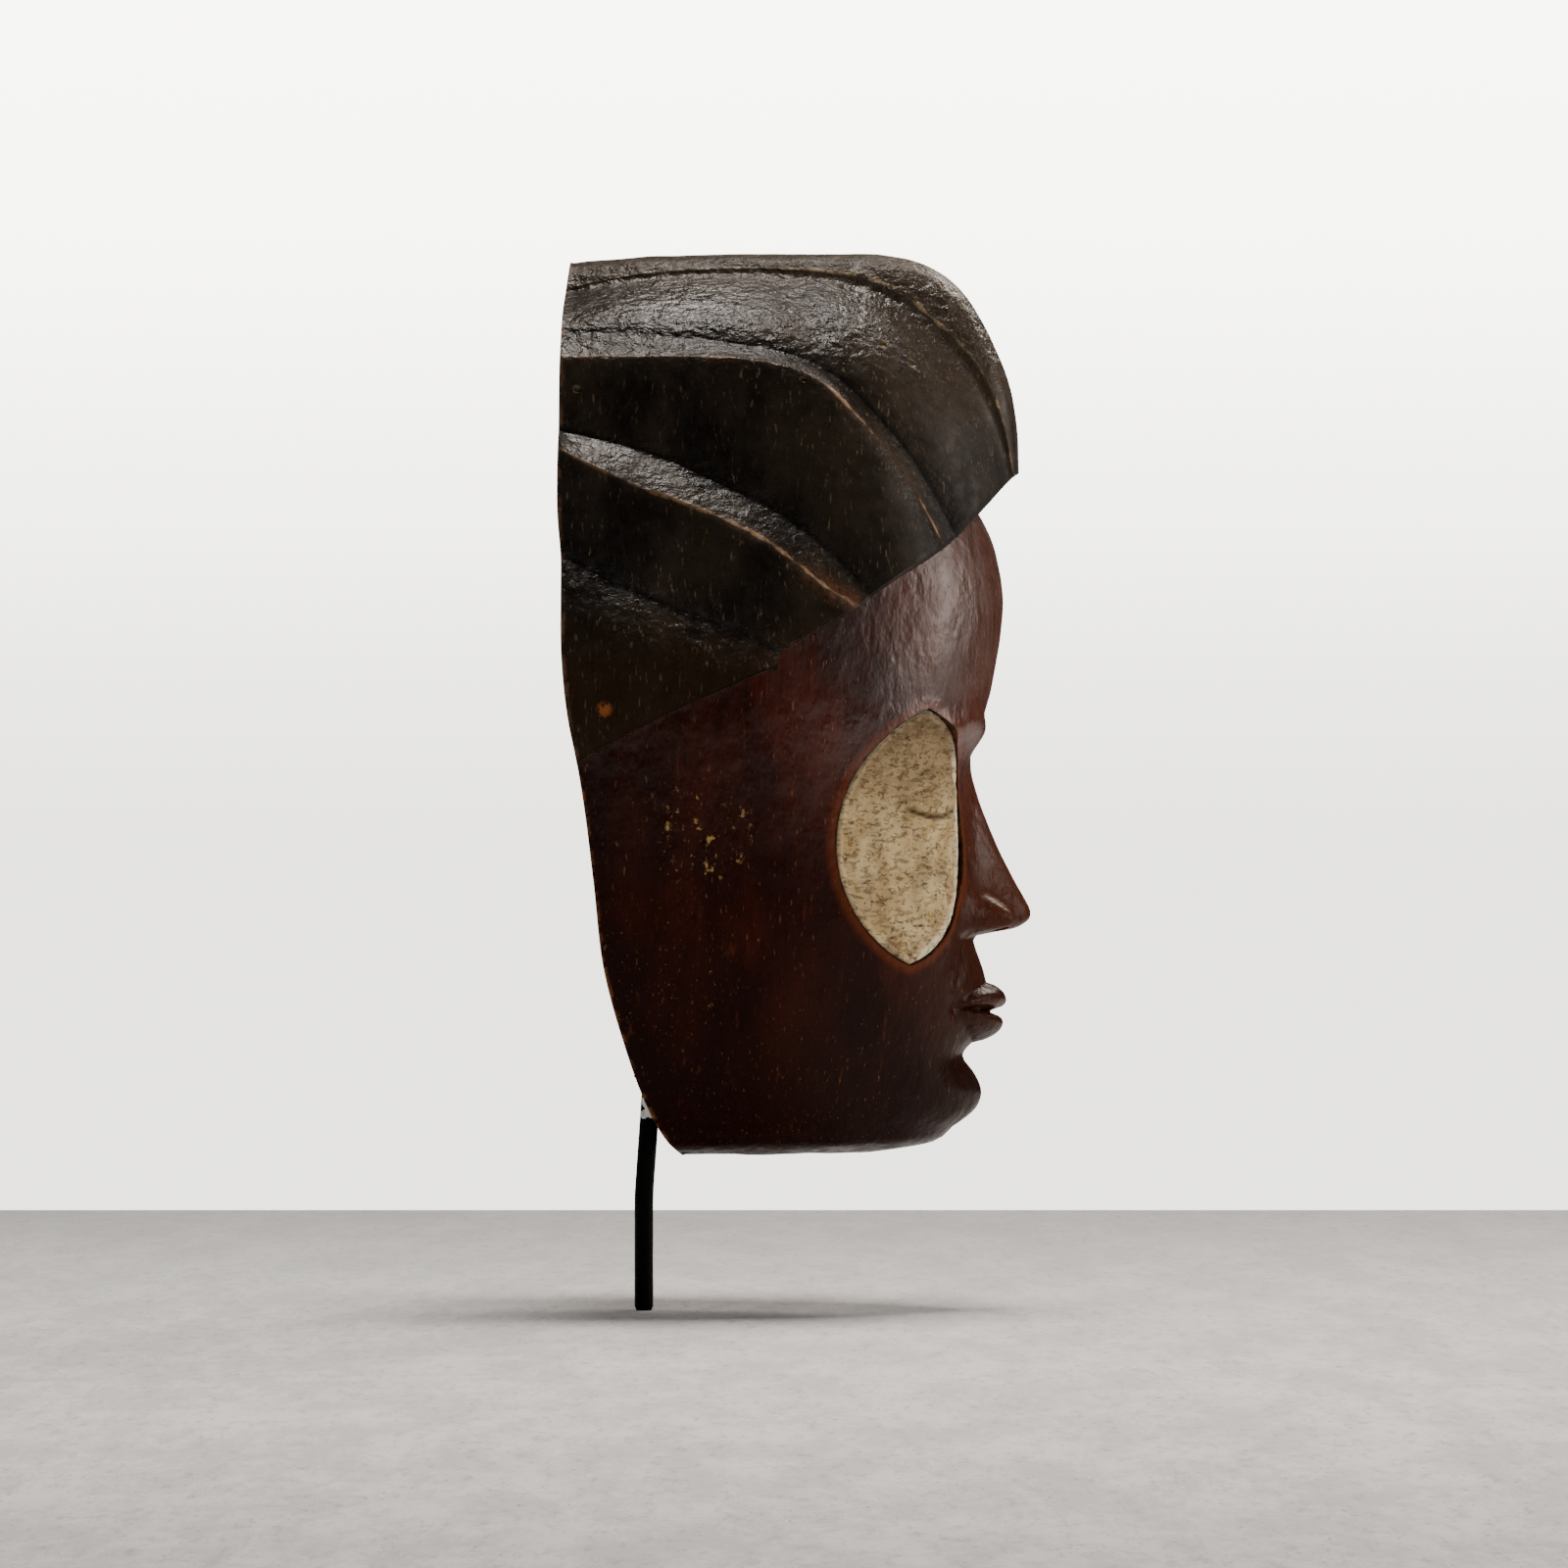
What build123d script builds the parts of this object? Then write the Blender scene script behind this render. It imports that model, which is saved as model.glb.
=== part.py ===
"""Carved wooden face mask with a layered coiffure, held on a bent steel display rod.

Millimetres. +Z is up, the face looks along -Y, +X is the mask's own left side.
The origin is on the axis of the rod at its lower end.
"""

import os
from math import cos, radians, sin

from build123d import *

os.makedirs("parts", exist_ok=True)

# ---------------------------------------------------------------- driving dimensions
CHIN_Z = 50.0  # underside of the jaw
HAIRLINE_Z = 249.0  # hairline on the middle of the forehead
FACE_H = HAIRLINE_Z - CHIN_Z
BROW_Z = CHIN_Z + FACE_H * 2 / 3
NOSE_Z = CHIN_Z + FACE_H / 3  # base of the nose, one third up the face
MOUTH_Z = CHIN_Z + FACE_H * 2 / 9
EYE_Z = BROW_Z - FACE_H * 0.115
EYE_WIDTH = FACE_H * 0.144  # a face is five eyes wide
WIDEST_Y = -4.0  # where the plan section is widest
BACK_Y = 45.0  # blanks run back to here before the rim is cut
PLAN_POWER = 2.35  # squareness of the plan sections

ROD_R = 3.0
ROD_END_CHAMFER = 0.5
ROD_STRAIGHT = 32.0  # vertical stretch that plugs into a base
ROD_LEAN = 4.0  # degrees, forwards, above the bend
ROD_BEND_R = 120.0
ROD_UPPER = 226.0  # straight stretch above the bend
SOCKET_R = 3.5  # bore in the coiffure that takes the top of the rod
SOCKET_DEPTH = 28.0

CLIP_AT = 38.0  # up the leaning stretch, from the bend to the middle of the clip
CLIP_WIDTH = 11.0
CLIP_THICK = 1.5
FELT_THICK = 1.2
CLIP_REACH = 15.0  # from the rod's axis to the end of a foot
SCREW_X = 10.8
SCREW_R = 1.7
SCREW_LENGTH = 15.0
SCREW_HEAD_R = 3.3
SCREW_HEAD_T = 2.2
SLOT_WIDTH = 0.9
SLOT_DEPTH = 1.0
ARCH_R = ROD_R + FELT_THICK
CLIP_CORNER = 2.5
SEAT_HALF = 22.0  # half width of the flat seat behind the chin
SEAT_START = 16.0  # up the leaning stretch
SEAT_LENGTH = 36.0
GROOVE_R = 3.2
GLUE_LUMPS = (  # up the leaning stretch, out to the side, backwards, radius
    (22.5, 3.6, -0.6, 2.4),
    (25.5, 3.8, 0.2, 2.9),
    (28.5, 3.5, 0.4, 2.4),
)

PANEL_TURN = 42.0  # degrees from straight ahead to the way an eye panel looks
PANEL_X = 43.0  # middle of the panel
PANEL_Y = -84.0
PANEL_Z = EYE_Z - 11.0
PANEL_WIDTH = 58.0
PANEL_HEIGHT = 0.4 * FACE_H
PANEL_RECESS = 2.4
KAOLIN_THICK = 1.4
PANEL_GAP = 0.3
EYE_TURN = 22.0  # degrees the line of an eye is turned back from straight across
EYE_Y = -88.5
LID_R = 8.0
LASH_LINE = 0.8

LIP_RING = 19.0  # the lips are rings that sink into the face at the corners of the mouth
LIP_R = 6.3
LIP_CENTRE_Y = -85.0


# ---------------------------------------------------------------- shared shapes
def round_front(half_width, front, widest):
    """Points of the front half of a plan section, from one flank round the front to the other."""
    points = []
    for degrees_round in (-90, -67.5, -45, -22.5, 0, 22.5, 45, 67.5, 90):
        angle = radians(degrees_round)
        across = abs(sin(angle)) ** (2 / PLAN_POWER) * half_width
        ahead = abs(cos(angle)) ** (2 / PLAN_POWER) * (widest - front)
        points.append((across if degrees_round > 0 else -across, widest - ahead))
    return points


def plan_section(z, half_width, front, widest=WIDEST_Y, back=BACK_Y):
    """Horizontal section at height z: a rounded front and straight flanks."""
    with BuildSketch(Plane.XY.offset(z)) as sketch:
        with BuildLine():
            face = Spline(*round_front(half_width, front, widest), tangents=((0, -1), (0, 1)))
            Polyline(face @ 1, (half_width, back), (-half_width, back), face @ 0)
        make_face()
    return sketch.sketch


def plan_loft(rows, inset=0.0, **section):
    """A form lofted through horizontal sections given as (height, half width, front)."""
    with BuildPart() as form:
        for z, half_width, front in rows:
            add(plan_section(z, half_width - inset, front + inset, **section))
        loft()
    return form.part


def side_plate(curve, corners, half_width):
    """A plate across the mask whose outline in the side view is a curve closed by straight lines."""
    with BuildPart() as plate:
        with BuildSketch(Plane.YZ.offset(-half_width)):
            with BuildLine():
                top = Spline(*curve)
                Polyline(top @ 1, *corners, top @ 0)
            make_face()
        extrude(amount=2 * half_width)
    return plate.part


def ledged_lobe(line, half_width, drop, ledge):
    """One lobe of the coiffure: a side plate whose upper edges fall away in a ledge."""
    corners = ((line[-1][0], LOBE_FOOT), (line[0][0], LOBE_FOOT))
    plate = side_plate(line, corners, half_width)
    with BuildPart() as lobe:
        add(plate)
        chamfer(lobe.edges().filter_by(GeomType.BSPLINE), length=ledge, length2=drop)
    return lobe.part


# the plain head under the hair and the features, the hollow behind it, and the nose
FACE_ROWS = (  # height, half width, front
    (CHIN_Z, 31.0, -80.0),
    (CHIN_Z + 8, 41.0, -97.0),
    (CHIN_Z + 18, 48.0, -102.5),
    (CHIN_Z + 30, 54.0, -100.0),
    (MOUTH_Z, 59.0, -102.0),
    (NOSE_Z, 65.0, -102.0),
    (NOSE_Z + 26, 69.0, -100.0),
    (EYE_Z + 8, 71.0, -101.0),
    (BROW_Z + 2, 71.5, -106.5),
    (BROW_Z + 26, 70.0, -112.0),
    (BROW_Z + 46, 67.0, -112.5),
    (HAIRLINE_Z, 63.0, -106.0),
    (HAIRLINE_Z + 20, 55.0, -92.0),
)
HOLLOW_ROWS = (
    (90.0, 20.0, -14.0),
    (101.0, 35.0, -42.0),
    (116.0, 47.0, -64.0),
    (136.0, 54.0, -75.0),
    (165.0, 57.0, -79.0),
    (194.0, 56.0, -76.0),
    (213.0, 52.0, -66.0),
    (229.0, 43.0, -48.0),
    (241.0, 28.0, -28.0),
)
NOSE_ROWS = (
    (NOSE_Z + 1.5, 13.5, -121.5),
    (NOSE_Z + 8, 14.3, -125.5),
    (NOSE_Z + 20, 10.5, -119.5),
    (NOSE_Z + 38, 8.0, -110.5),
    (BROW_Z - 8, 7.0, -103.0),
)

# lines of the coiffure in the side view, from the back rim to the hairline
CREST_LINE = (
    (30, 328.5), (2, 331), (-28.5, 332), (-59, 331.8), (-86, 330.5), (-98, 325), (-106, 312.5),
    (-112, 300), (-117, 285), (-118.6, 272.5), (-117.8, 263),
)
TOP_LINE = (
    (30, 318), (1, 324.5), (-19, 326), (-41, 326.3), (-68, 323.8), (-88, 312), (-104.5, 296.5),
    (-113.5, 275), (-115.7, 265),
)
UPPER_LINE = ((30, 297), (14, 297.2), (-32, 296.6), (-55, 291), (-74, 271.5), (-88, 249.5), (-94, 238.5))
MIDDLE_LINE = ((30, 271), (0, 256.5), (-30, 245), (-50, 231.7), (-60, 223.5), (-66, 217))
LOWER_LINE = ((30, 223), (8, 214), (-8, 206.5), (-27, 201.5), (-40, 201.5))
HAIRLINE = (
    (38, 158), (19, 170.8), (-8, 186.5), (-41, 201.5), (-60, 211), (-85, 229.5), (-106, 249.5), (-117.8, 263),
)
RIM_LINE = (
    (22.5, 340), (23, 329), (24.6, 303), (25.5, 273), (25.6, 247), (24.5, 235), (24.4, 222), (23.8, 200),
    (21.6, 182), (18.4, 165), (14.8, 136), (11.0, 107), (5.4, 86), (-1, 67), (-4.8, 59), (-7.6, 54), (-12, 49),
)
LOBES = (  # line, half width, ledge drop, ledge width
    (TOP_LINE, 45.0, 13.0, 15.0),
    (UPPER_LINE, 55.0, 5.0, 7.0),
    (MIDDLE_LINE, 65.0, 7.0, 8.0),
    (LOWER_LINE, 75.0, 9.0, 8.0),
)
CREST_HALF = 20.0
LOBE_FOOT = 150.0  # lobes are drawn down to here before the hairline is cut

# the leaning stretch of the rod
LEAN = radians(ROD_LEAN)
UP_ROD = Vector(0, -sin(LEAN), cos(LEAN))
BEND_TOP = Vector(0, ROD_BEND_R * (cos(LEAN) - 1), ROD_STRAIGHT + ROD_BEND_R * sin(LEAN))


def across_rod(distance):
    """A plane square to the rod at a distance up its leaning stretch; its local y looks backwards."""
    return Plane(origin=BEND_TOP + UP_ROD * distance, x_dir=(1, 0, 0), z_dir=UP_ROD)


# the flat seat behind the chin lies in the plane of the rod's axis; local x across, y up the rod
seat_plane = Plane(origin=BEND_TOP, x_dir=(-1, 0, 0), z_dir=(0, cos(LEAN), sin(LEAN)))
clip_plane = across_rod(CLIP_AT - CLIP_WIDTH / 2)
SCREW_SPOTS = ((-SCREW_X, CLIP_AT), (SCREW_X, CLIP_AT))


def along_rod(start, length, radius):
    """A cylinder on the axis of the leaning stretch."""
    with BuildPart() as bar:
        with BuildSketch(across_rod(start)):
            Circle(radius)
        extrude(amount=length)
    return bar.part


def panel_prism(side, shrink=0.0):
    """The upright leaf outline of an eye panel, as a prism along the way the panel looks."""
    turn = radians(PANEL_TURN) * side
    outward = Vector(sin(turn), -cos(turn), 0)
    plane = Plane(
        origin=Vector(side * PANEL_X, PANEL_Y, PANEL_Z) - outward * 25,
        x_dir=(cos(turn), sin(turn), 0),
        z_dir=outward,
    )
    half_w, half_h = PANEL_WIDTH / 2 - shrink, PANEL_HEIGHT / 2 - shrink
    with BuildPart() as prism:
        with BuildSketch(plane):
            with BuildLine():
                ThreePointArc((0, -half_h), (-half_w, 0), (0, half_h))
                ThreePointArc((0, half_h), (half_w, 0), (0, -half_h))
            make_face()
        extrude(amount=50)
    return prism.part


def closed_eye(side):
    """A low almond mound for a lowered eyelid, with the line of the lashes cut across it."""
    turn = radians(EYE_TURN) * side
    axis = Plane(
        origin=(side * EYE_WIDTH, EYE_Y, EYE_Z),
        x_dir=(cos(turn), sin(turn), 0),
        z_dir=(0, 0, 1),
    )
    half = EYE_WIDTH / 2
    with BuildPart() as lid:
        with BuildSketch(axis):
            with BuildLine():
                ThreePointArc((-half, 0), (0, LID_R), (half, 0))
                Line((half, 0), (-half, 0))
            make_face()
        revolve(axis=Axis(axis.origin, axis.x_dir))
        with BuildSketch(axis.offset(-LID_R * 0.45)):
            with BuildLine():
                low = ThreePointArc((-half, -1), (0, -LID_R - 1.5), (half, -1))
                Polyline(low @ 1, (half, -LID_R - 6), (-half, -LID_R - 6), low @ 0)
            make_face()
        extrude(amount=LASH_LINE, mode=Mode.SUBTRACT)
    return lid.part


# ---------------------------------------------------------------- the forms that the mask is made of
face_blank = plan_loft(FACE_ROWS)
nose = plan_loft(NOSE_ROWS, widest=-98.0, back=-88.0)
hollow = plan_loft(HOLLOW_ROWS)
under_coat = plan_loft(FACE_ROWS, inset=PANEL_RECESS)
over_coat = plan_loft(FACE_ROWS, inset=PANEL_RECESS - KAOLIN_THICK)
front_limit = plan_loft(((LOBE_FOOT - 5, 76.0, -119.0), (360, 76.0, -119.0)))
crest = side_plate(CREST_LINE, ((CREST_LINE[-1][0], LOBE_FOOT), (30, LOBE_FOOT)), CREST_HALF)
lobes = [ledged_lobe(*lobe) for lobe in LOBES]
below_hairline = side_plate(HAIRLINE, ((-140, 263), (-140, 100), (38, 100)), 100)
above_hairline = side_plate(HAIRLINE, ((-140, 263), (-140, 340), (38, 340)), 100)
behind_rim = side_plate(RIM_LINE, ((90, 49), (90, 340)), 100)
groove = along_rod(0, SEAT_START + SEAT_LENGTH, GROOVE_R)
socket = along_rod(ROD_UPPER - SOCKET_DEPTH - 8, SOCKET_DEPTH + 9, SOCKET_R)
glue_sleeve = along_rod(ROD_UPPER - SOCKET_DEPTH, SOCKET_DEPTH + 1, SOCKET_R)
panel_cores = {side: panel_prism(side) for side in (-1, 1)}
coat_cores = {side: panel_prism(side, PANEL_GAP) for side in (-1, 1)}
eyes = {side: closed_eye(side) for side in (-1, 1)}

# ---------------------------------------------------------------- the mask: one carved block
with BuildPart() as coiffure:
    add(crest)
    add(lobes)
    add(front_limit, mode=Mode.INTERSECT)
    add(below_hairline, mode=Mode.SUBTRACT)

with BuildPart() as panel_recesses:
    add(panel_cores.values())
    add(under_coat, mode=Mode.SUBTRACT)

with BuildPart() as mask_body:
    add(face_blank)
    add(nose)
    for height in (MOUTH_Z + LIP_R * 0.8, MOUTH_Z - LIP_R * 0.8):
        with Locations((0, LIP_CENTRE_Y, height)):
            Torus(LIP_RING, LIP_R)
    add(above_hairline, mode=Mode.SUBTRACT)
    add(coiffure.part)
    add(behind_rim, mode=Mode.SUBTRACT)
    add(hollow, mode=Mode.SUBTRACT)
    add(panel_recesses.part, mode=Mode.SUBTRACT)
    with BuildSketch(across_rod(SEAT_START)):
        with Locations((0, 25)):
            Rectangle(2 * SEAT_HALF, 50)
    extrude(amount=SEAT_LENGTH, mode=Mode.SUBTRACT)
    add(groove, mode=Mode.SUBTRACT)
    add(socket, mode=Mode.SUBTRACT)
    with BuildSketch(seat_plane):
        with Locations(*SCREW_SPOTS):
            Circle(SCREW_R)
    extrude(amount=-SCREW_LENGTH, mode=Mode.SUBTRACT)

# ---------------------------------------------------------------- the clay coats of the eye panels
with BuildPart() as kaolin_right:
    add(coat_cores[-1])
    add(over_coat, mode=Mode.INTERSECT)
    add(eyes[-1])
    add(coat_cores[-1], mode=Mode.INTERSECT)
    add(under_coat, mode=Mode.SUBTRACT)

with BuildPart() as kaolin_left:
    add(coat_cores[1])
    add(over_coat, mode=Mode.INTERSECT)
    add(eyes[1])
    add(coat_cores[1], mode=Mode.INTERSECT)
    add(under_coat, mode=Mode.SUBTRACT)

# ---------------------------------------------------------------- the rod
with BuildPart() as mount_rod:
    with BuildLine():
        straight = Line((0, 0, 0), (0, 0, ROD_STRAIGHT))
        bend = TangentArc(straight @ 1, BEND_TOP, tangent=(0, 0, 1))
        Line(bend @ 1, BEND_TOP + UP_ROD * ROD_UPPER)
    with BuildSketch(Plane.XY):
        Circle(ROD_R)
    sweep()
    foot_rim = mount_rod.edges().filter_by(GeomType.CIRCLE).sort_by(Axis.Z)[0]
    chamfer(foot_rim, length=ROD_END_CHAMFER)

# ---------------------------------------------------------------- the fixings behind the chin
with BuildPart() as saddle_clip:
    with BuildSketch(clip_plane):
        Circle(ARCH_R + CLIP_THICK)
        Circle(ARCH_R, mode=Mode.SUBTRACT)
        with Locations((0, -20)):
            Rectangle(60, 40, mode=Mode.SUBTRACT)
        foot = (ARCH_R + CLIP_REACH) / 2
        with Locations((-foot, CLIP_THICK / 2), (foot, CLIP_THICK / 2)):
            Rectangle(CLIP_REACH - ARCH_R, CLIP_THICK)
    extrude(amount=CLIP_WIDTH)
    fillet(saddle_clip.edges().filter_by(Axis(BEND_TOP, seat_plane.z_dir)), radius=CLIP_CORNER)
    with BuildSketch(seat_plane):
        with Locations(*SCREW_SPOTS):
            Circle(SCREW_R + 0.2)
    extrude(amount=CLIP_THICK, mode=Mode.SUBTRACT)

with BuildPart() as felt_liner:
    with BuildSketch(clip_plane):
        Circle(ARCH_R)
        Circle(ROD_R, mode=Mode.SUBTRACT)
        with Locations((0, -20)):
            Rectangle(60, 40, mode=Mode.SUBTRACT)
    extrude(amount=CLIP_WIDTH)

with BuildPart() as clip_screws:
    with BuildSketch(seat_plane.offset(CLIP_THICK)):
        with Locations(*SCREW_SPOTS):
            Circle(SCREW_HEAD_R)
    extrude(amount=SCREW_HEAD_T)
    with BuildSketch(seat_plane.offset(CLIP_THICK)):
        with Locations(*SCREW_SPOTS):
            Circle(SCREW_R)
    extrude(amount=-SCREW_LENGTH - CLIP_THICK)
    top_rims = clip_screws.edges().filter_by(GeomType.CIRCLE).sort_by(Axis(BEND_TOP, seat_plane.z_dir))[-2:]
    fillet(top_rims, radius=SCREW_HEAD_T * 0.6)
    with BuildSketch(seat_plane.offset(CLIP_THICK + SCREW_HEAD_T)):
        with Locations(*SCREW_SPOTS):
            Rectangle(2 * SCREW_HEAD_R + 1, SLOT_WIDTH, rotation=25)
    extrude(amount=-SLOT_DEPTH, mode=Mode.SUBTRACT)

# ---------------------------------------------------------------- the glues
with BuildPart() as socket_glue:
    add(glue_sleeve)
    with BuildSketch(across_rod(ROD_UPPER - SOCKET_DEPTH - 3)):
        Circle(SOCKET_R)
    with BuildSketch(across_rod(ROD_UPPER - SOCKET_DEPTH + 3)):
        Circle(SOCKET_R + 3)
    loft()
    add(mask_body.part, mode=Mode.SUBTRACT)
    add(mount_rod.part, mode=Mode.SUBTRACT)

with BuildPart() as glue_bead:
    for along, out, back, radius in GLUE_LUMPS:
        with Locations(across_rod(along) * Pos(-out, back, 0)):
            Sphere(radius)
    add(mask_body.part, mode=Mode.SUBTRACT)
    add(mount_rod.part, mode=Mode.SUBTRACT)

# ---------------------------------------------------------------- export
mask_body.part.label = "mask_body"
kaolin_right.part.label = "kaolin_right"
kaolin_left.part.label = "kaolin_left"
mount_rod.part.label = "mount_rod"
saddle_clip.part.label = "saddle_clip"
felt_liner.part.label = "felt_liner"
clip_screws.part.label = "clip_screws"
socket_glue.part.label = "socket_glue"
glue_bead.part.label = "glue_bead"

for piece in (
    mask_body,
    kaolin_right,
    kaolin_left,
    mount_rod,
    saddle_clip,
    felt_liner,
    clip_screws,
    socket_glue,
    glue_bead,
):
    export_step(piece.part, f"parts/{piece.part.label}.step")
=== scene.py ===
"""Carved wooden face mask on a bent display rod: the visible surfaces, materials, light and camera."""

import math

import bpy
import numpy as np
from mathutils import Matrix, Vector, noise
from mathutils.bvhtree import BVHTree


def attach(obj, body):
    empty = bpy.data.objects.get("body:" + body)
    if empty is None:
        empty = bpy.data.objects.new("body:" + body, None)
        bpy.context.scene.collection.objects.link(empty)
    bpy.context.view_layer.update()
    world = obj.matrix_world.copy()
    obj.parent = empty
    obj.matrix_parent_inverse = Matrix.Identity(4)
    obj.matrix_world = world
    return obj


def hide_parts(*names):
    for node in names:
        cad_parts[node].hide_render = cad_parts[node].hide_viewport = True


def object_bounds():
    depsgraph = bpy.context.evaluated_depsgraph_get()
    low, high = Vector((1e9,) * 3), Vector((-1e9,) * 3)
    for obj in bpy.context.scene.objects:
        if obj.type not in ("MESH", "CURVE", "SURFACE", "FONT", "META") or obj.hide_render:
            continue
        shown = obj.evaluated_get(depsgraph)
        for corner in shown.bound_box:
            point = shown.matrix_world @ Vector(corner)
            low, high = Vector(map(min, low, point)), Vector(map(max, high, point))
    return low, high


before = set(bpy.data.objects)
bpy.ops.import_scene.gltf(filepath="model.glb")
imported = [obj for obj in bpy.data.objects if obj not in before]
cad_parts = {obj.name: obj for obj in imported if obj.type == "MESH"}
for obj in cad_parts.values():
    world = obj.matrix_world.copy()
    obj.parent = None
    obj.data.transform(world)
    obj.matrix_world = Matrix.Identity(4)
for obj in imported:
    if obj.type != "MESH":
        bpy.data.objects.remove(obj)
cad_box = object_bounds()
bpy.ops.object.select_all(action="DESELECT")
MM = 0.001
FAR = 99.0  # a gap in millimetres for points with no line near

# ------------------------------------------------------------------ camera and stage
REACH = 3.0  # metres from the camera to the middle of the mask
FIELD = 0.4923  # metres across the picture at that distance
bpy.ops.object.camera_add(location=(-REACH, -0.044, 0.1652), rotation=(math.pi / 2, 0, -math.pi / 2))
camera = bpy.context.object
camera.data.lens = camera.data.sensor_width * REACH / FIELD
camera.data.clip_end = 50
bpy.context.scene.camera = camera


# ------------------------------------------------------------------ smooth tables and lines
def smooth_table(rows, at):
    """Values of a smooth curve through rows of (position, value, ...), read at other positions."""
    rows = np.array(rows, float)
    t, v = rows[:, 0], rows[:, 1:]
    at = np.clip(np.asarray(at, float), t[0], t[-1])
    slope = np.gradient(v, t, axis=0)
    i = np.clip(np.searchsorted(t, at, side="right") - 1, 0, len(t) - 2)
    h = (t[i + 1] - t[i])[..., None]
    s = ((at - t[i]) / (t[i + 1] - t[i]))[..., None]
    curve = (
        (1 + 2 * s) * (1 - s) ** 2 * v[i]
        + s * (1 - s) ** 2 * h * slope[i]
        + s * s * (3 - 2 * s) * v[i + 1]
        + s * s * (s - 1) * h * slope[i + 1]
    )
    return curve[..., 0] if v.shape[1] == 1 else curve


def along(points, shares):
    """Points at shares of the length of a smooth line through the given points."""
    points = np.array(points, float)
    chord = np.concatenate(([0], np.cumsum(np.linalg.norm(np.diff(points, axis=0), axis=1))))
    fine = smooth_table(np.column_stack((chord, points)), np.linspace(0, chord[-1], 400))
    length = np.concatenate(([0], np.cumsum(np.linalg.norm(np.diff(fine, axis=0), axis=1))))
    spots = np.asarray(shares) * length[-1]
    return np.column_stack([np.interp(spots, length, fine[:, k]) for k in range(points.shape[1])])


def hill(value, centre, width):
    return np.exp(-(((value - centre) / width) ** 2))


def ease(value, low, high):
    s = np.clip((value - low) / (high - low), 0, 1)
    return s * s * (3 - 2 * s)


# ------------------------------------------------------------------ meshes
def make_piece(name, points, faces):
    """A mesh object from points in millimetres."""
    mesh = bpy.data.meshes.new(name)
    mesh.from_pydata([tuple(p) for p in np.asarray(points, float) * MM], [], faces)
    piece = bpy.data.objects.new(name, mesh)
    bpy.context.collection.objects.link(piece)
    return piece


def only(piece):
    bpy.ops.object.select_all(action="DESELECT")
    piece.select_set(True)
    bpy.context.view_layer.objects.active = piece


def outward(piece):
    """Merges doubles and points every face outwards."""
    only(piece)
    bpy.ops.object.mode_set(mode="EDIT")
    bpy.ops.mesh.select_all(action="SELECT")
    bpy.ops.mesh.remove_doubles(threshold=1e-6)
    bpy.ops.mesh.normals_make_consistent(inside=False)
    bpy.ops.object.mode_set(mode="OBJECT")


def finish_with(piece, kind, **settings):
    """Adds a modifier and applies it."""
    only(piece)
    modifier = piece.modifiers.new(kind.lower(), kind)
    for key, value in settings.items():
        setattr(modifier, key, value)
    bpy.ops.object.modifier_apply(modifier=modifier.name)


def carve(piece, cutter, operation="DIFFERENCE"):
    """Cuts a solid away from a piece, or joins it on, and removes the cutter."""
    finish_with(piece, "BOOLEAN", object=cutter, operation=operation, solver="MANIFOLD")
    bpy.data.objects.remove(cutter, do_unlink=True)


def smooth(piece, bend):
    """Shades a piece smooth except across edges that bend by more than some degrees."""
    only(piece)
    bpy.ops.object.shade_smooth_by_angle(angle=math.radians(bend))


def points_of(piece):
    spots = np.empty(len(piece.data.vertices) * 3)
    piece.data.vertices.foreach_get("co", spots)
    return spots.reshape(-1, 3) / MM


def normals_of(piece):
    ways = np.empty(len(piece.data.vertices) * 3)
    piece.data.vertices.foreach_get("normal", ways)
    return ways.reshape(-1, 3)


def place_points(piece, spots):
    piece.data.vertices.foreach_set("co", (spots * MM).ravel())
    piece.data.update()


def quads(rows, cols):
    """Faces of a grid of points, row by row."""
    return [
        (r * cols + c, r * cols + c + 1, (r + 1) * cols + c + 1, (r + 1) * cols + c)
        for r in range(rows - 1)
        for c in range(cols - 1)
    ]


def closed_loft(name, points, rows, cols):
    """A solid through level rows of points, each closed behind, with both ends capped."""
    faces = quads(rows, cols)
    faces += [(r * cols + cols - 1, r * cols, (r + 1) * cols, (r + 1) * cols + cols - 1) for r in range(rows - 1)]
    for first in (0, (rows - 1) * cols):
        for c in range(cols // 2):
            ring = (first + c, first + c + 1, first + cols - 2 - c, first + cols - 1 - c)
            faces.append(tuple(dict.fromkeys(ring)))
    solid = make_piece(name, points, faces)
    outward(solid)
    return solid


def mark_points(piece, marks):
    """Keeps named values on a piece's points for its materials."""
    for name, values in marks.items():
        piece.data.attributes.new(name, "FLOAT", "POINT").data.foreach_set("value", values)


def waves(spots, size, seed=0.0):
    """Soft noise from -1 to 1 with lumps of a size in millimetres."""
    shift = Vector((seed, seed * 1.7, seed * 0.6))
    return np.array([noise.noise(Vector(s) / size + shift) for s in spots])


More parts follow.
